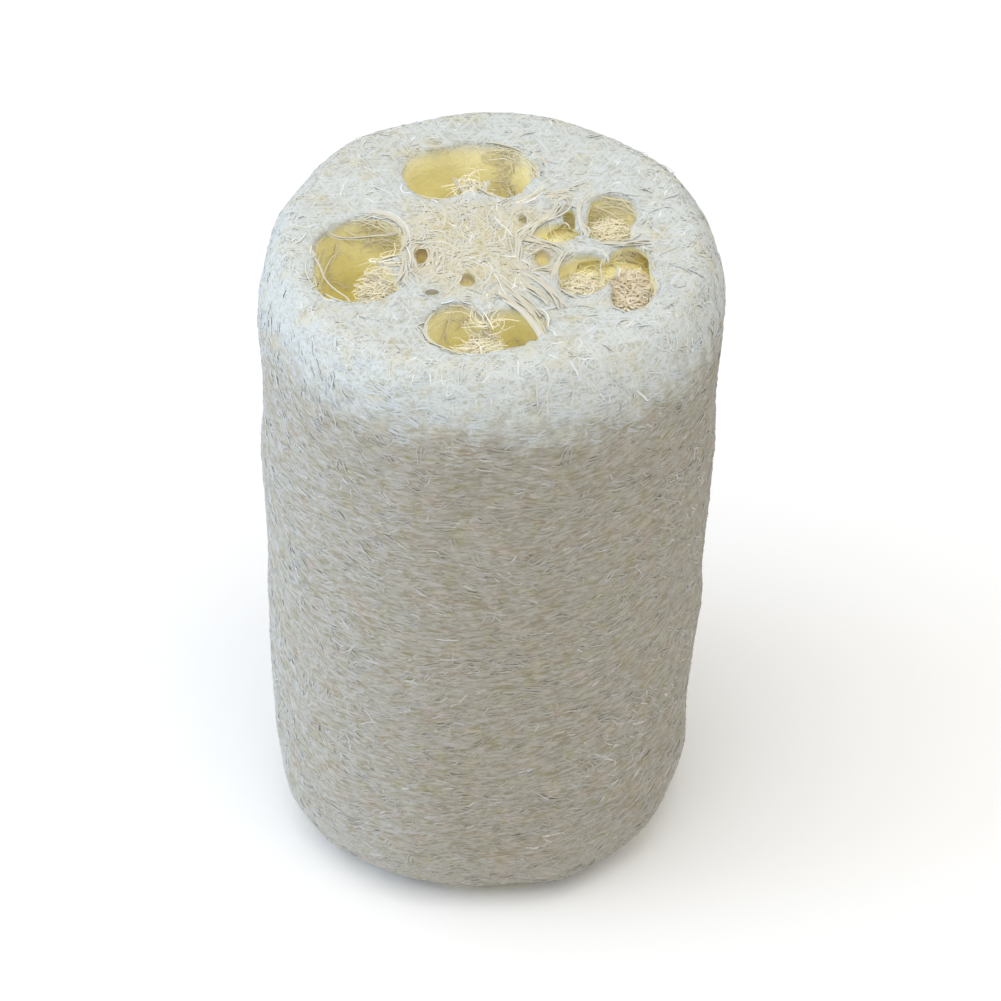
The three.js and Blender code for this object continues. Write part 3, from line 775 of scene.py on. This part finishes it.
class LOOFAH_OT_felt_body(bpy.types.Operator):
    """Build the felted body with its chambers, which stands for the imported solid"""

    bl_idname = "loofah.felt_body"
    bl_label = "Felt Body"

    # How far the chambers' spaces stand past the ends, and the ripple of their walls
    PAST = 4 * MM
    RIPPLE = 0.45 * MM
    RIPPLE_WIDTH = 9 * MM

    # Lumps of the felt: widths, heights in mm, how much flatter the fine ones are, how far the felt draws in
    # to make room for them, in mm, and the room left to the floor
    COARSE_WIDTH = 3.5 * MM
    COARSE_LUMPS = 0.06
    FINE_WIDTH = 1.8 * MM
    FINE_LUMPS = 0.05
    FINE_SQUASH = (1, 1, 1.6)
    SHRINK = 0.05
    FLOOR_ROOM = 0.1 * MM

    # Points round each ring, and the steps between rings
    FELT_POINTS = 180
    FELT_STEP = 1.6 * MM
    END_SHARES = np.linspace(0.03, 0.97, 24)
    CHAMBER_POINTS = 84
    CHAMBER_STEP = 2.4 * MM
    GAP_POINTS = 20
    GAP_RINGS = 14
    GAP_PAST = 3 * MM

    def execute(self, context):
        skin, fibres, rng = workbench(context, 0)
        ripple = Ripple(rng, self.RIPPLE_WIDTH)
        length = skin.shape.length
        whole = self.lump(self.felt_rows(skin))
        spaces = [(chamber, -self.PAST, length + self.PAST) for chamber in WHOLE_CHAMBERS]
        spaces.append((WEBBED, -self.PAST, length - WEB_DEPTH))
        spaces += [(cell, length - CELL_DEPTH, length + self.PAST) for cell in CELLS]
        chambers = [self.lump(self.chamber_rows(skin, ripple, *space)) for space in spaces]
        self.cut(whole, chambers)
        remesh = whole.modifiers.new("felt", "REMESH")
        remesh.mode, remesh.voxel_size, remesh.adaptivity = "VOXEL", fibres.felt_step, 0.0
        # the remesh would close gaps as narrow as these
        gaps = [self.lump(self.gap_rows(skin, *gap)) for gap in CORE_GAPS]
        self.cut(whole, gaps)
        shaped = whole.evaluated_get(context.evaluated_depsgraph_get())
        body = bpy.data.objects.new("felt_body", bpy.data.meshes.new_from_object(shaped))
        if not body.data.polygons:
            raise RuntimeError("the felt body came out empty")
        body.data.shade_smooth()
        context.scene.collection.objects.link(body)
        for spare in [whole, *chambers, *gaps]:
            bpy.data.objects.remove(spare)
        self.roughen(body.data, rng)
        finish_piece(body, felt_material(context.scene.loofah_colours, length))
        self.line_chambers(body.data, skin)
        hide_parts(NODE)
        return {"FINISHED"}

    def lump(self, rows):
        """A closed lump through rings of points, to be cut or to cut with."""
        return new_mesh_object("lump", rows.reshape(-1, 3), lump_faces(rows))

    def cut(self, whole, cutters):
        """Cuts the spaces of other lumps out of the whole."""
        for cutter in cutters:
            cut = whole.modifiers.new("cut", "BOOLEAN")
            cut.operation, cut.solver, cut.object = "DIFFERENCE", "MANIFOLD", cutter

    def felt_rows(self, skin):
        """Rings of points over the whole outside, from the middle of the lower end to the upper end's."""
        turn = around(self.FELT_POINTS)
        sides = [skin.place(turn, way, 0.0) for way in np.arange(0, skin.top_way, self.FELT_STEP)]
        lower = [self.end_ring(skin, turn, share, False) for share in self.END_SHARES]
        upper = [self.end_ring(skin, turn, share, True) for share in self.END_SHARES[::-1]]
        return np.array(lower + sides + upper)

    def end_ring(self, skin, turn, share, upper):
        """A ring of points on an end, at a share of the way from its middle to its edge."""
        level = skin.shape.length if upper else 0.0
        inset = skin.shape.upper_inset if upper else skin.shape.lower_inset
        out = share * (skin.side_radius(turn, level) - inset)
        x = out * np.cos(turn) + skin.axis_shift(level)
        return skin.end_place(x, out * np.sin(turn), 0.0, upper)[0]

    def chamber_rows(self, skin, ripple, chamber, low, high):
        """Rings of points of the space of one chamber or cell, between two heights."""
        direction = around(self.CHAMBER_POINTS)
        rows = []
        for z in np.linspace(low, high, 2 + int((high - low) / self.CHAMBER_STEP)):
            x, y = chamber_place(chamber, direction)
            points = np.stack([x, y, 0 * x + z], -1)
            x, y = chamber_place(chamber, direction, self.RIPPLE * ripple(points))
            rows.append(np.stack([x, y, 0 * x + z], -1) + skin.offset)
        return np.array(rows)

    def gap_rows(self, skin, *gap):
        """Rings of points of one small gap between the core's fibres, narrowing downwards."""
        x, y, half_x, half_y, depth = (value * MM for value in gap[:5])
        turn = around(self.GAP_POINTS)
        rows = []
        for share in np.linspace(0, 1, self.GAP_RINGS):
            wide = 0.55 + 0.45 * np.sin(np.pi / 2 * share)
            plan = [x + half_x * wide * np.cos(turn), y + half_y * wide * np.sin(turn)]
            height = 0 * turn + skin.shape.length - depth + share * (depth + self.GAP_PAST)
            rows.append(np.stack([*plan, height], -1) + skin.offset)
        return np.array(rows)

    def read_points(self, mesh, name):
        """Places or normals of a mesh's points, of shape (points, 3)."""
        values = np.empty(len(mesh.vertices) * 3, np.float32)
        mesh.vertices.foreach_get(name, values)
        return values.reshape(-1, 3)

    def roughen(self, mesh, rng):
        """Moves the felt's points in and out, in lumps of the size of a few fibres."""
        points, normals = self.read_points(mesh, "co").astype(float), self.read_points(mesh, "normal")
        coarse = Ripple(rng, self.COARSE_WIDTH)(points)
        fine = Ripple(rng, self.FINE_WIDTH)(points * self.FINE_SQUASH)
        lumps = self.COARSE_LUMPS * coarse + self.FINE_LUMPS * fine - self.SHRINK
        points += normals * lumps[:, None] * MM
        points[:, 2] = np.maximum(points[:, 2], self.FLOOR_ROOM)
        mesh.vertices.foreach_set("co", points.astype(np.float32).ravel())
        mesh.update()

    def fade(self, distance, start, end):
        """A share that climbs from 0 to 1 between two distances in mm."""
        return np.clip((distance / MM - start) / (end - start), 0, 1)

    def line_chambers(self, mesh, skin):
        """Marks the walls of the chambers and of the small gaps, for the felt's material."""
        length = skin.shape.length
        x, y, z = (self.read_points(mesh, "co") - skin.offset).T
        gap_room, stain = room_to_gaps(x, y)
        gap_room = np.where(z > length / 2, gap_room, np.inf)
        room = room_to_chambers(x, y, CHAMBERS)
        in_cells = z > length - CELL_DEPTH - 2 * MM
        room = np.where(in_cells, np.minimum(room, room_to_chambers(x, y, CELLS)), room)
        room = np.minimum(room, gap_room + 0.5 * MM)
        deep = np.minimum(z, length - z)
        lined = self.fade(room, 1.6, 0.6) * self.fade(deep, 0.8, 2.2)
        # partly painted shade: the gaps' walls are darkened, with one gap's own brown
        stained = stain * self.fade(gap_room, 0.7, 0.3) * self.fade(deep, 0.1, 0.6)
        for name, values in (("lined", lined), ("stain", stained)):
            mesh.attributes.new(name, "FLOAT", "POINT").data.foreach_set("value", values.astype(np.float32))


class LOOFAH_OT_side_mats(bpy.types.Operator):
    """Lay the three mats of fibres round the side"""

    bl_idname = "loofah.side_mats"
    bl_label = "Side Mats"

    # Name of each mat, and limits in mm of the lifts of its fibres' ends and middles
    MATS = (
        ("side_mat_under", (-0.4, -0.25), (-0.08, 0.02)),
        ("side_mat_middle", (-0.4, -0.25), (-0.06, 0.05)),
        ("side_mat_over", (-0.4, -0.2), (-0.04, 0.09)),
    )

    # Fibres in a lock, limits of their lengths in mm, and the share of locks that cross the rest
    LOCK = 3
    LENGTHS = (2.5, 7)
    CROSSING_SHARE = 0.1

    # Width of the slow swirls, and the lowest way, which keeps fibres off the chambers' lower mouths
    SWIRL_WIDTH = 30 * MM
    LOWEST = -1.0 * MM

    # On the front left the fibres fall to the right: where, how wide and how much, as angles
    FALL_TURN = math.radians(-142)
    FALL_WIDTH = math.radians(30)
    FALL = math.radians(-34)

    def execute(self, context):
        skin, fibres, rng = workbench(context, 1)
        swirl = Ripple(rng, self.SWIRL_WIDTH)
        for name, sink, proud in self.MATS:
            mat = self.mat(skin, fibres, rng, swirl, sink, proud)
            fibre_piece(name, "bleached_matted_loofah_fibre", [mat])
        return {"FINISHED"}

    def slant(self, turn):
        """Usual heading of the side's fibres: level, but for the fall."""
        away = (turn - self.FALL_TURN + np.pi) % (2 * np.pi) - np.pi
        return self.FALL * np.exp(-((away / self.FALL_WIDTH) ** 2)) + 0.1 * np.sin(3 * turn)

    def mat(self, skin, fibres, rng, swirl, sink, proud):
        """Fibres of one mat, in locks that lie together. The locks' heading swirls slowly over the side."""
        locks = fibres.side_count // self.LOCK
        turn = rng.uniform(-np.pi, np.pi, locks)
        way = rng.uniform(-3 * MM, skin.top_way - 6 * MM, locks) + rng.normal(0, 2 * MM, locks)
        heading = self.slant(turn) + 0.3 * swirl(skin.place(turn, way, 0.0)) + rng.normal(0, 0.25, locks)
        crosses = rng.uniform(size=locks) < self.CROSSING_SHARE
        heading += np.where(crosses, rng.uniform(-1.4, 1.4, locks), 0.0)
        length = drawn(rng, self.LENGTHS, locks)
        bend = rng.normal(0, 0.9, locks)
        locked = (turn, way, heading, length, bend)
        turn, way, heading, length, bend = (np.repeat(value, self.LOCK) for value in locked)
        count = len(turn)
        radius = skin.radius_at(turn, way)
        turn = turn + rng.normal(0, 0.9 * MM, count) / radius
        way = way + rng.normal(0, 0.5 * MM, count)
        heading = heading + rng.normal(0, 0.14, count)
        length = length * rng.uniform(0.7, 1.2, count)
        run, rise = wandering(rng, heading, length, bend, points=STRAIGHT_POINTS)
        lift = weaving(rng, drawn(rng, sink, count), drawn(rng, proud, count), STRAIGHT_POINTS)
        ways = np.clip(way[:, None] + rise, self.LOWEST, skin.ways[-1])
        turns = turn[:, None] + run / radius[:, None]
        radii = fibre_radii(rng, count, fibres.thickness, STRAIGHT_POINTS)
        return tubes(skin.place(turns, ways, lift), radii, skin.normal(turns, ways), flat=MAT_FLAT)


class LOOFAH_OT_end_mats(bpy.types.Operator):
    """Lay the cut fibres on the upper and the lower end"""

    bl_idname = "loofah.end_mats"
    bl_label = "End Mats"

    # Fibres of the lower end as a share of the upper end's, and how far they are pressed in
    LOWER_SHARE = 0.45
    LOWER_SINK = 0.75 * MM

    # Limits in mm of the fibres' lengths and lifts, the share that stand proud, and the room round mouths
    LENGTHS = (2.5, 7)
    SINK = (-0.4, -0.2)
    FLUSH = (-0.15, -0.02)
    PROUD = (0.05, 0.2)
    PROUD_SHARE = 0.03
    ROOM = 0.2 * MM

    def execute(self, context):
        skin, fibres, rng = workbench(context, 2)
        lower_count = int(self.LOWER_SHARE * fibres.end_count)
        ends = (("upper_end_mat", fibres.end_count, True), ("lower_end_mat", lower_count, False))
        for name, count, upper in ends:
            mat = self.mat(skin, fibres, rng, count, upper)
            fibre_piece(name, "bleached_cut_loofah_fibre", [mat])
        return {"FINISHED"}

    def mat(self, skin, fibres, rng, count, upper):
        """Cut and crushed fibres of an end, lying every way, clear of the chambers."""
        wide = skin.shape.radius + 3 * MM
        tries = count * 2
        x, y = rng.uniform(-wide, wide, (2, tries))
        heading = rng.uniform(0, 2 * np.pi, tries)
        length = drawn(rng, self.LENGTHS, tries)
        run, rise = wandering(rng, heading, length, rng.normal(0, 1.3, tries), 0.4)
        xs, ys = x[:, None] + run, y[:, None] + rise
        level = skin.shape.length if upper else 0.0
        from_axis = xs - skin.axis_shift(level)
        rim = skin.side_radius(np.arctan2(ys, from_axis), level)
        clear = clear_of_mouths(xs, ys, UPPER_MOUTHS if upper else CHAMBERS) > self.ROOM
        kept = (clear & (np.hypot(from_axis, ys) < rim - self.ROOM)).all(1)
        xs, ys = xs[kept][:count], ys[kept][:count]
        found = len(xs)
        stands = rng.uniform(size=found) < self.PROUD_SHARE
        proud = np.where(stands, drawn(rng, self.PROUD, found), drawn(rng, self.FLUSH, found))
        lift = weaving(rng, drawn(rng, self.SINK, found), proud)
        paths, normals = skin.end_place(xs, ys, lift if upper else lift - self.LOWER_SINK, upper)
        return tubes(paths, fibre_radii(rng, found, 0.9 * fibres.thickness), normals, flat=MAT_FLAT)


class LOOFAH_OT_chamber_net(bpy.types.Operator):
    """Line the chambers with a net of unbleached fibres and fill their pads"""

    bl_idname = "loofah.chamber_net"
    bl_label = "Chamber Net"

    # Facing and spread in degrees, depth in mm and curl of the net that is all round a chamber
    ALL_ROUND = (0, 180, 30, 0.9)

    # Shares of the mats' thickness, and how steeply the pads' fibres stand
    WALL_THICKNESS = 0.8
    FINE_THICKNESS = 0.6
    COARSE_THICKNESS = 0.85
    FINE_STAND = 0.06
    COARSE_STAND = 0.2
    FLOOR_STAND = 0.03

    # Limits in mm of the wall fibres' lengths and lifts, and how near to the ends they come
    WALL_LENGTHS = (4, 11)
    WALL_SINK = (-0.8, -0.3)
    WALL_PROUD = (-0.15, 0.4)
    WALL_ROOM = 0.8 * MM
    UPPER_SHARE = 0.7

    # Points and rings of a cushion, its steepest climb, and its middle under the pad and half height, in mm
    CUSHION_POINTS = 40
    CUSHION_CLIMBS = np.linspace(-1.45, 1.45, 14)
    CUSHION_UNDER = 3.5
    CUSHION_HEIGHT = 2.6

    def execute(self, context):
        skin, fibres, rng = workbench(context, 3)
        walls = [(chamber, fibres.chamber_count, *self.ALL_ROUND) for chamber in CHAMBERS]
        walls += [(CHAMBERS[number], *net) for number, *net in WALL_NETS]
        fine, coarse = (share * fibres.thickness for share in (self.FINE_THICKNESS, self.COARSE_THICKNESS))
        net = [self.wall_fibres(skin, fibres, rng, *wall) for wall in walls]
        net += [self.pad_fibres(skin, rng, pad, fine, self.FINE_STAND) for pad in FINE_PADS]
        fibre_piece("chamber_net", "unbleached_loofah_fibre", net)
        pads = [self.pad_fibres(skin, rng, pad, coarse, self.COARSE_STAND) for pad in COARSE_PADS]
        pads += [self.cushion(skin, rng, pad) for pad in COARSE_PADS]
        fibre_piece("coarse_pads", "unbleached_coarse_loofah_fibre", pads)
        cushions = [self.cushion(skin, rng, pad) for pad in FINE_PADS]
        fibre_piece("pad_cushions", "unbleached_felted_loofah", cushions)
        floors = [self.cushion(skin, rng, pad) for pad in CELL_FLOORS]
        floors += [self.pad_fibres(skin, rng, pad, fine, self.FLOOR_STAND) for pad in CELL_FLOORS]
        fibre_piece("cell_floors", "unbleached_chamber_felt", floors)
        return {"FINISHED"}

    def cushion(self, skin, rng, pad):
        """The felted lump under a pad's fibres. Its normals of no length leave Blender's own in place."""
        (x, y), (half_x, half_y), depth = pad[:3]
        ripple = Ripple(rng, 4 * MM)
        turn = around(self.CUSHION_POINTS)
        rows = []
        for climb in self.CUSHION_CLIMBS:
            xs = (x + half_x * np.cos(climb) * np.cos(turn)) * MM
            ys = (y + half_y * np.cos(climb) * np.sin(turn)) * MM
            under = self.CUSHION_HEIGHT * np.sin(climb) - depth - self.CUSHION_UNDER
            rows.append(np.stack([xs, ys, 0 * turn + skin.shape.length + under * MM], -1))
        rows = np.array(rows)
        rows[..., 2] += 0.2 * MM * ripple(rows)
        return (rows + skin.offset).reshape(-1, 3), lump_faces(rows), 0 * rows.reshape(-1, 3)

    def wall_fibres(self, skin, fibres, rng, chamber, count, facing, spread, deepest, curl):
        """Fibres that climb a chamber's wall, about a facing and near its mouths."""
        length = skin.shape.length
        direction = np.radians(facing + spread * rng.uniform(-1, 1, count))
        from_mouth = np.minimum(rng.gamma(1.6, 0.3, count), 1.6) * deepest * MM + self.WALL_ROOM
        z = np.where(rng.uniform(size=count) < self.UPPER_SHARE, length - from_mouth, from_mouth)
        heading = rng.uniform(-np.pi, np.pi, count)
        lengths = drawn(rng, self.WALL_LENGTHS, count)
        run, rise = wandering(rng, heading, lengths, rng.normal(0, curl, count), 0.4)
        heights = np.clip(z[:, None] + rise, self.WALL_ROOM, length - self.WALL_ROOM)
        directions = direction[:, None] + run / (8 * MM)
        lift = weaving(rng, drawn(rng, self.WALL_SINK, count), drawn(rng, self.WALL_PROUD, count))
        x, y = chamber_place(chamber, directions, -lift)
        paths = np.stack([x, y, heights], -1) + skin.offset
        inward = np.stack([-np.cos(directions), -np.sin(directions), 0.3 + 0 * directions], -1)
        return tubes(paths, fibre_radii(rng, count, self.WALL_THICKNESS * fibres.thickness), inward)

    def pad_fibres(self, skin, rng, pad, thickness, stand):
        """Loose fibres that lie on a pad, or stand on it by the given rise over their length."""
        (x, y), (half_x, half_y), depth, count, longest = pad
        out, turn = np.sqrt(rng.uniform(0, 1, count)), rng.uniform(0, 2 * np.pi, count)
        heading = rng.uniform(0, 2 * np.pi, count)
        length = rng.uniform(0.4, 1.0, count) * longest
        run, rise = wandering(rng, heading, length * MM, rng.normal(0, 2.2, count), 0.5)
        xs = (x + half_x * out * np.cos(turn))[:, None] * MM + run
        ys = (y + half_y * out * np.sin(turn))[:, None] * MM + rise
        sag = depth + 2.2 * out**2 + rng.uniform(-0.3, 0.8, count)
        tilt = rng.normal(0, stand, count) * length / 2
        depths = (sag[:, None] + tilt[:, None] * np.linspace(-1, 1, CURLED_POINTS)) * MM
        heights = skin.shape.length - np.maximum(depths, 0.6 * MM)
        paths = np.stack([xs, ys, heights], -1) + skin.offset
        return tubes(paths, fibre_radii(rng, count, thickness), UP)


class LOOFAH_OT_core_web(bpy.types.Operator):
    """Weave the core's web, with its smooth strands and the lips of the chambers"""

    bl_idname = "loofah.core_web"
    bl_label = "Core Web"

    # Points along a strand, from end to end as shares
    SHARE = np.linspace(-1, 1, 14)

    # Thin strands on a rib, and how many more there are for each mm of its half width
    COMPANIONS = 2
    MORE_COMPANIONS = 11

    # Strands of a lip for each mm of its chamber's half width, and limits in mm of the strands' radii
    LIP_STRANDS = 1.8
    LIP_RADII = (0.1, 0.22)
    STRAND_RADII = (0.1, 0.2)

    # Middle and radius of the core, and limits in mm of its fibres' lengths and lifts
    CORE_MIDDLE = (-1.0 * MM, -4.0 * MM)
    CORE_RADIUS = 15 * MM
    CORE_LENGTHS = (4, 11)
    CORE_SINK = (-0.4, -0.2)
    CORE_PROUD = (-0.08, 0.12)

    def execute(self, context):
        skin, fibres, rng = workbench(context, 4)
        lots = [self.web_band(skin, rng, *route) for route in WEB_ROUTES]
        lots += [self.lip(skin, rng, mouth) for mouth in UPPER_MOUTHS]
        lots.append(self.core_fibres(skin, fibres, rng))
        fibre_piece("core_web", "smooth_loofah_web", lots)
        return {"FINISHED"}

    def web_band(self, skin, rng, half_width, half_thickness, dip, points):
        """A flat smooth rib with thin strands that run along it, wind over it and splay out at its ends."""
        share = self.SHARE
        plan = smooth_route(np.array(points) * MM, len(share))
        level = skin.shape.length - (dip * (1 - share**4) + 0.5 * half_thickness) * MM
        ahead = np.gradient(plan, axis=0)
        across = np.stack([-ahead[:, 1], ahead[:, 0]], -1) / np.linalg.norm(ahead, axis=1, keepdims=True)
        count = self.COMPANIONS + int(self.MORE_COMPANIONS * half_width)
        lie, wind = rng.normal(0, 0.7, count), rng.normal(0, 0.5, count)
        turn = rng.uniform(0, 2 * np.pi, count)
        aside = lie[:, None] * (0.6 + 1.2 * share**2) + wind[:, None] * np.sin(2.5 * share + turn[:, None])
        aside[0] *= 0.2
        flat = plan + aside[..., None] * half_width * MM * across
        height = level + rng.uniform(-0.15, 0.3, count)[:, None] * MM * np.cos(2 * share + turn[:, None])
        paths = np.concatenate([flat, height[..., None]], -1) + skin.offset
        radii = drawn(rng, self.STRAND_RADII, count)[:, None] * (1 - 0.4 * share**2)
        radii[0] = 0.4 * half_width * MM * (1 - 0.5 * share**4)
        paths[:, :, 2] -= 0.5 * MM * share**6
        paths[0, :, 2] -= 0.1 * MM
        rib = tubes(paths[:1], radii[:1], UP, corners=8, flat=0.5)
        return joined([rib, tubes(paths[1:], radii[1:], UP, corners=4)])

    def lip(self, skin, rng, chamber):
        """Strands laid along the edge of a chamber's mouth."""
        count = int(self.LIP_STRANDS * chamber["half_x"])
        middle = rng.uniform(-np.pi, np.pi, count)
        sweep = rng.uniform(0.3, 0.9, count)
        direction = middle[:, None] + sweep[:, None] * self.SHARE / 2
        grow = (rng.uniform(0.0, 1.6, count)[:, None] + 0.3 * np.sin(5 * direction + middle[:, None])) * MM
        x, y = chamber_place(chamber, direction, grow)
        lift = rng.uniform(-1.2, 0.0, count)[:, None] * MM - 0.6 * MM * self.SHARE**4
        paths = np.stack([x, y, skin.shape.length + lift], -1) + skin.offset
        radii = drawn(rng, self.LIP_RADII, count)[:, None] * (1 - 0.4 * self.SHARE**2)
        return tubes(paths, radii, UP, corners=4)

    def core_fibres(self, skin, fibres, rng):
        """Finer fibres of the core, which mostly run outwards from its middle."""
        tries = fibres.core_count * 4
        out = self.CORE_RADIUS * np.sqrt(rng.uniform(0, 1, tries))
        turn = rng.uniform(0, 2 * np.pi, tries)
        x, y = out * np.cos(turn) + self.CORE_MIDDLE[0], out * np.sin(turn) + self.CORE_MIDDLE[1]
        heading = turn + rng.normal(0, 0.55, tries)
        length = drawn(rng, self.CORE_LENGTHS, tries)
        run, rise = wandering(rng, heading, length, rng.normal(0, 0.8, tries), 0.3)
        xs, ys = x[:, None] + run, y[:, None] + rise
        kept = (clear_of_mouths(xs, ys, UPPER_MOUTHS) > -0.1 * MM).all(1)
        xs, ys = xs[kept][: fibres.core_count], ys[kept][: fibres.core_count]
        count = len(xs)
        lift = weaving(rng, drawn(rng, self.CORE_SINK, count), drawn(rng, self.CORE_PROUD, count))
        paths, normals = skin.end_place(xs, ys, lift)
        return tubes(paths, fibre_radii(rng, count, 0.9 * fibres.thickness), normals, flat=MAT_FLAT)


class LOOFAH_OT_tufts(bpy.types.Operator):
    """Stand a tuft of fibres from the core into each chamber"""

    bl_idname = "loofah.tufts"
    bl_label = "Tufts"

    # Points along a fibre, as shares from its root to its tip
    SHARE = np.linspace(0, 1, 8)

    # How far a fibre starts inside the core, limits in mm of its length, and how deep it may hang
    ROOTED = 4.5 * MM
    LENGTHS = (4.5, 8.0)
    HIGHEST = 0.25 * MM
    DEEPEST = 14 * MM

    def execute(self, context):
        skin, fibres, rng = workbench(context, 5)
        lots = [self.tuft(skin, fibres, rng, chamber, False) for chamber in CHAMBERS]
        lots += [self.tuft(skin, fibres, rng, chamber, True) for chamber in WHOLE_CHAMBERS]
        fibre_piece("tufts", "unbleached_loofah_fibre", lots)
        return {"FINISHED"}

    def tuft(self, skin, fibres, rng, chamber, upper):
        """A fan of fibres that leaves the tip of a chamber's notch and droops."""
        count, share = fibres.tuft_count, self.SHARE
        root = math.radians(chamber["toward"])
        tip_x, tip_y = chamber_place(chamber, root)
        heading = root + np.pi + rng.normal(0, 0.7, count)
        out = drawn(rng, self.LENGTHS, count)[:, None] * share - self.ROOTED
        bearing = heading[:, None] + rng.normal(0, 2.4, count)[:, None] * share**1.5
        aside = rng.normal(0, 0.8 * MM, (2, count, 1))
        x = tip_x + out * np.cos(bearing) + aside[0]
        y = tip_y + out * np.sin(bearing) + aside[1]
        start, droop = rng.gamma(1.2, 1.8, count)[:, None], rng.uniform(-0.4, 2.5, count)[:, None]
        depth = np.clip((start + droop * share**2) * MM, self.HIGHEST, self.DEEPEST)
        z = skin.shape.length - depth if upper else depth
        paths = np.stack([x, y, z], -1) + skin.offset
        radii = fibre_radii(rng, count, 0.55 * fibres.thickness, len(share))
        into = np.array((-math.cos(root), -math.sin(root), 0.0))
        return tubes(paths, radii, UP if upper else into)


class LOOFAH_OT_stage(bpy.types.Operator):
    """Set the floor, the soft lights and the camera"""

    bl_idname = "loofah.stage"
    bl_label = "Stage"

    # The photograph's view: from the front, 40 degrees above the horizon
    ELEVATION = 40.0
    DISTANCE = 700 * MM
    LENS = 141.0
    SENSOR = 36.0
    AIM = Vector((2.0, 1.1, 63.2)) * MM

    # Half width of the floor in metres, and how far it lies under the lowest fibres
    FLOOR = 3.0
    FLOOR_DROP = 0.2 * MM

    # Lights: name, direction to it in degrees, distance, size, power in watts, colour
    LIGHTS = (
        ("key", (-145, 72), 0.9, 1.0, 4.0, "#FAFCFF"),
        ("left_fill", (-175, 12), 0.9, 0.6, 3.4, "#CFE2FF"),
        ("right_fill", (-35, 58), 0.9, 0.8, 1.7, "#FFF6E8"),
    )
    ROOM_LIGHT = 0.64

    def execute(self, context):
        scene = context.scene
        self.add_floor(scene.loofah_colours)
        self.add_lights(scene)
        self.add_camera(scene)
        scene.view_settings.view_transform = "Standard"
        return {"FINISHED"}

    def add_floor(self, colours):
        """White board with a matt coat: an even pale ground, without reflections."""
        wide = self.FLOOR
        plan = ((-wide, -wide), (wide, -wide), (wide, wide), (-wide, wide))
        corners = np.array([(x, y, -self.FLOOR_DROP) for x, y in plan])
        floor = new_mesh_object("floor", corners, [[0, 1, 2, 3]])
        surface = {"Base Color": colours.floor, "Roughness": 0.9, "Specular IOR Level": 0.1}
        floor.data.materials.append(finish_material(new_material("matt_white_board"), surface))

    def add_lights(self, scene):
        """A white room, and three large soft lights round the sponge."""
        world = bpy.data.worlds.new("soft_white_room")
        scene.world = world
        world.use_nodes = True
        room = world.node_tree.nodes["Background"].inputs
        room["Color"].default_value = linear("#FFFFFF")
        room["Strength"].default_value = self.ROOM_LIGHT
        middle = Vector((0, 0, scene.loofah_shape.length / 2))
        for name, (turn, climb), distance, size, power, colour in self.LIGHTS:
            turn, climb = math.radians(turn), math.radians(climb)
            level = math.cos(climb)
            away = Vector((math.cos(turn) * level, math.sin(turn) * level, math.sin(climb)))
            lamp = bpy.data.lights.new(name, "AREA")
            lamp.shape, lamp.size, lamp.energy, lamp.color = "DISK", size, power, linear(colour)[:3]
            light = bpy.data.objects.new(name, lamp)
            light.location = middle + away * distance
            light.rotation_euler = away.to_track_quat("Z", "Y").to_euler()
            scene.collection.objects.link(light)

    def add_camera(self, scene):
        """A camera at the photograph's viewing angle."""
        data = bpy.data.cameras.new("camera")
        data.lens, data.sensor_width = self.LENS, self.SENSOR
        camera = bpy.data.objects.new("camera", data)
        climb = math.radians(self.ELEVATION)
        offset = Skin(scene.loofah_shape).offset
        target = Vector((offset[0], offset[1], scene.loofah_shape.length / 2))
        camera.location = target + Vector((0, -math.cos(climb), math.sin(climb))) * self.DISTANCE
        camera.rotation_euler = (self.AIM - camera.location).to_track_quat("-Z", "Y").to_euler()
        scene.collection.objects.link(camera)
        scene.camera = camera


class LOOFAH_PT_panel(bpy.types.Panel):
    """The sponge's pieces and sizes"""

    bl_idname = "LOOFAH_PT_panel"
    bl_label = "Loofah Sponge"
    bl_space_type = "VIEW_3D"
    bl_region_type = "UI"
    bl_category = "Loofah"

    def draw(self, context):
        for operator in OPERATORS:
            self.layout.operator(operator.bl_idname)
        for group in (context.scene.loofah_shape, context.scene.loofah_fibres, context.scene.loofah_colours):
            box = self.layout.box()
            for name in group.__annotations__:
                box.prop(group, name)


OPERATORS = (
    LOOFAH_OT_stage,
    LOOFAH_OT_felt_body,
    LOOFAH_OT_side_mats,
    LOOFAH_OT_end_mats,
    LOOFAH_OT_chamber_net,
    LOOFAH_OT_core_web,
    LOOFAH_OT_tufts,
)
CLASSES = (LoofahShape, LoofahFibres, LoofahColours, *OPERATORS, LOOFAH_PT_panel)


def register():
    for cls in CLASSES:
        bpy.utils.register_class(cls)
    bpy.types.Scene.loofah_shape = PointerProperty(type=LoofahShape)
    bpy.types.Scene.loofah_fibres = PointerProperty(type=LoofahFibres)
    bpy.types.Scene.loofah_colours = PointerProperty(type=LoofahColours)


def unregister():
    del bpy.types.Scene.loofah_colours
    del bpy.types.Scene.loofah_fibres
    del bpy.types.Scene.loofah_shape
    for cls in reversed(CLASSES):
        bpy.utils.unregister_class(cls)


def main():
    register()
    bpy.ops.loofah.stage()
    bpy.ops.loofah.felt_body()
    bpy.ops.loofah.side_mats()
    bpy.ops.loofah.end_mats()
    bpy.ops.loofah.chamber_net()
    bpy.ops.loofah.core_web()
    bpy.ops.loofah.tufts()


if __name__ == "__main__":
    main()
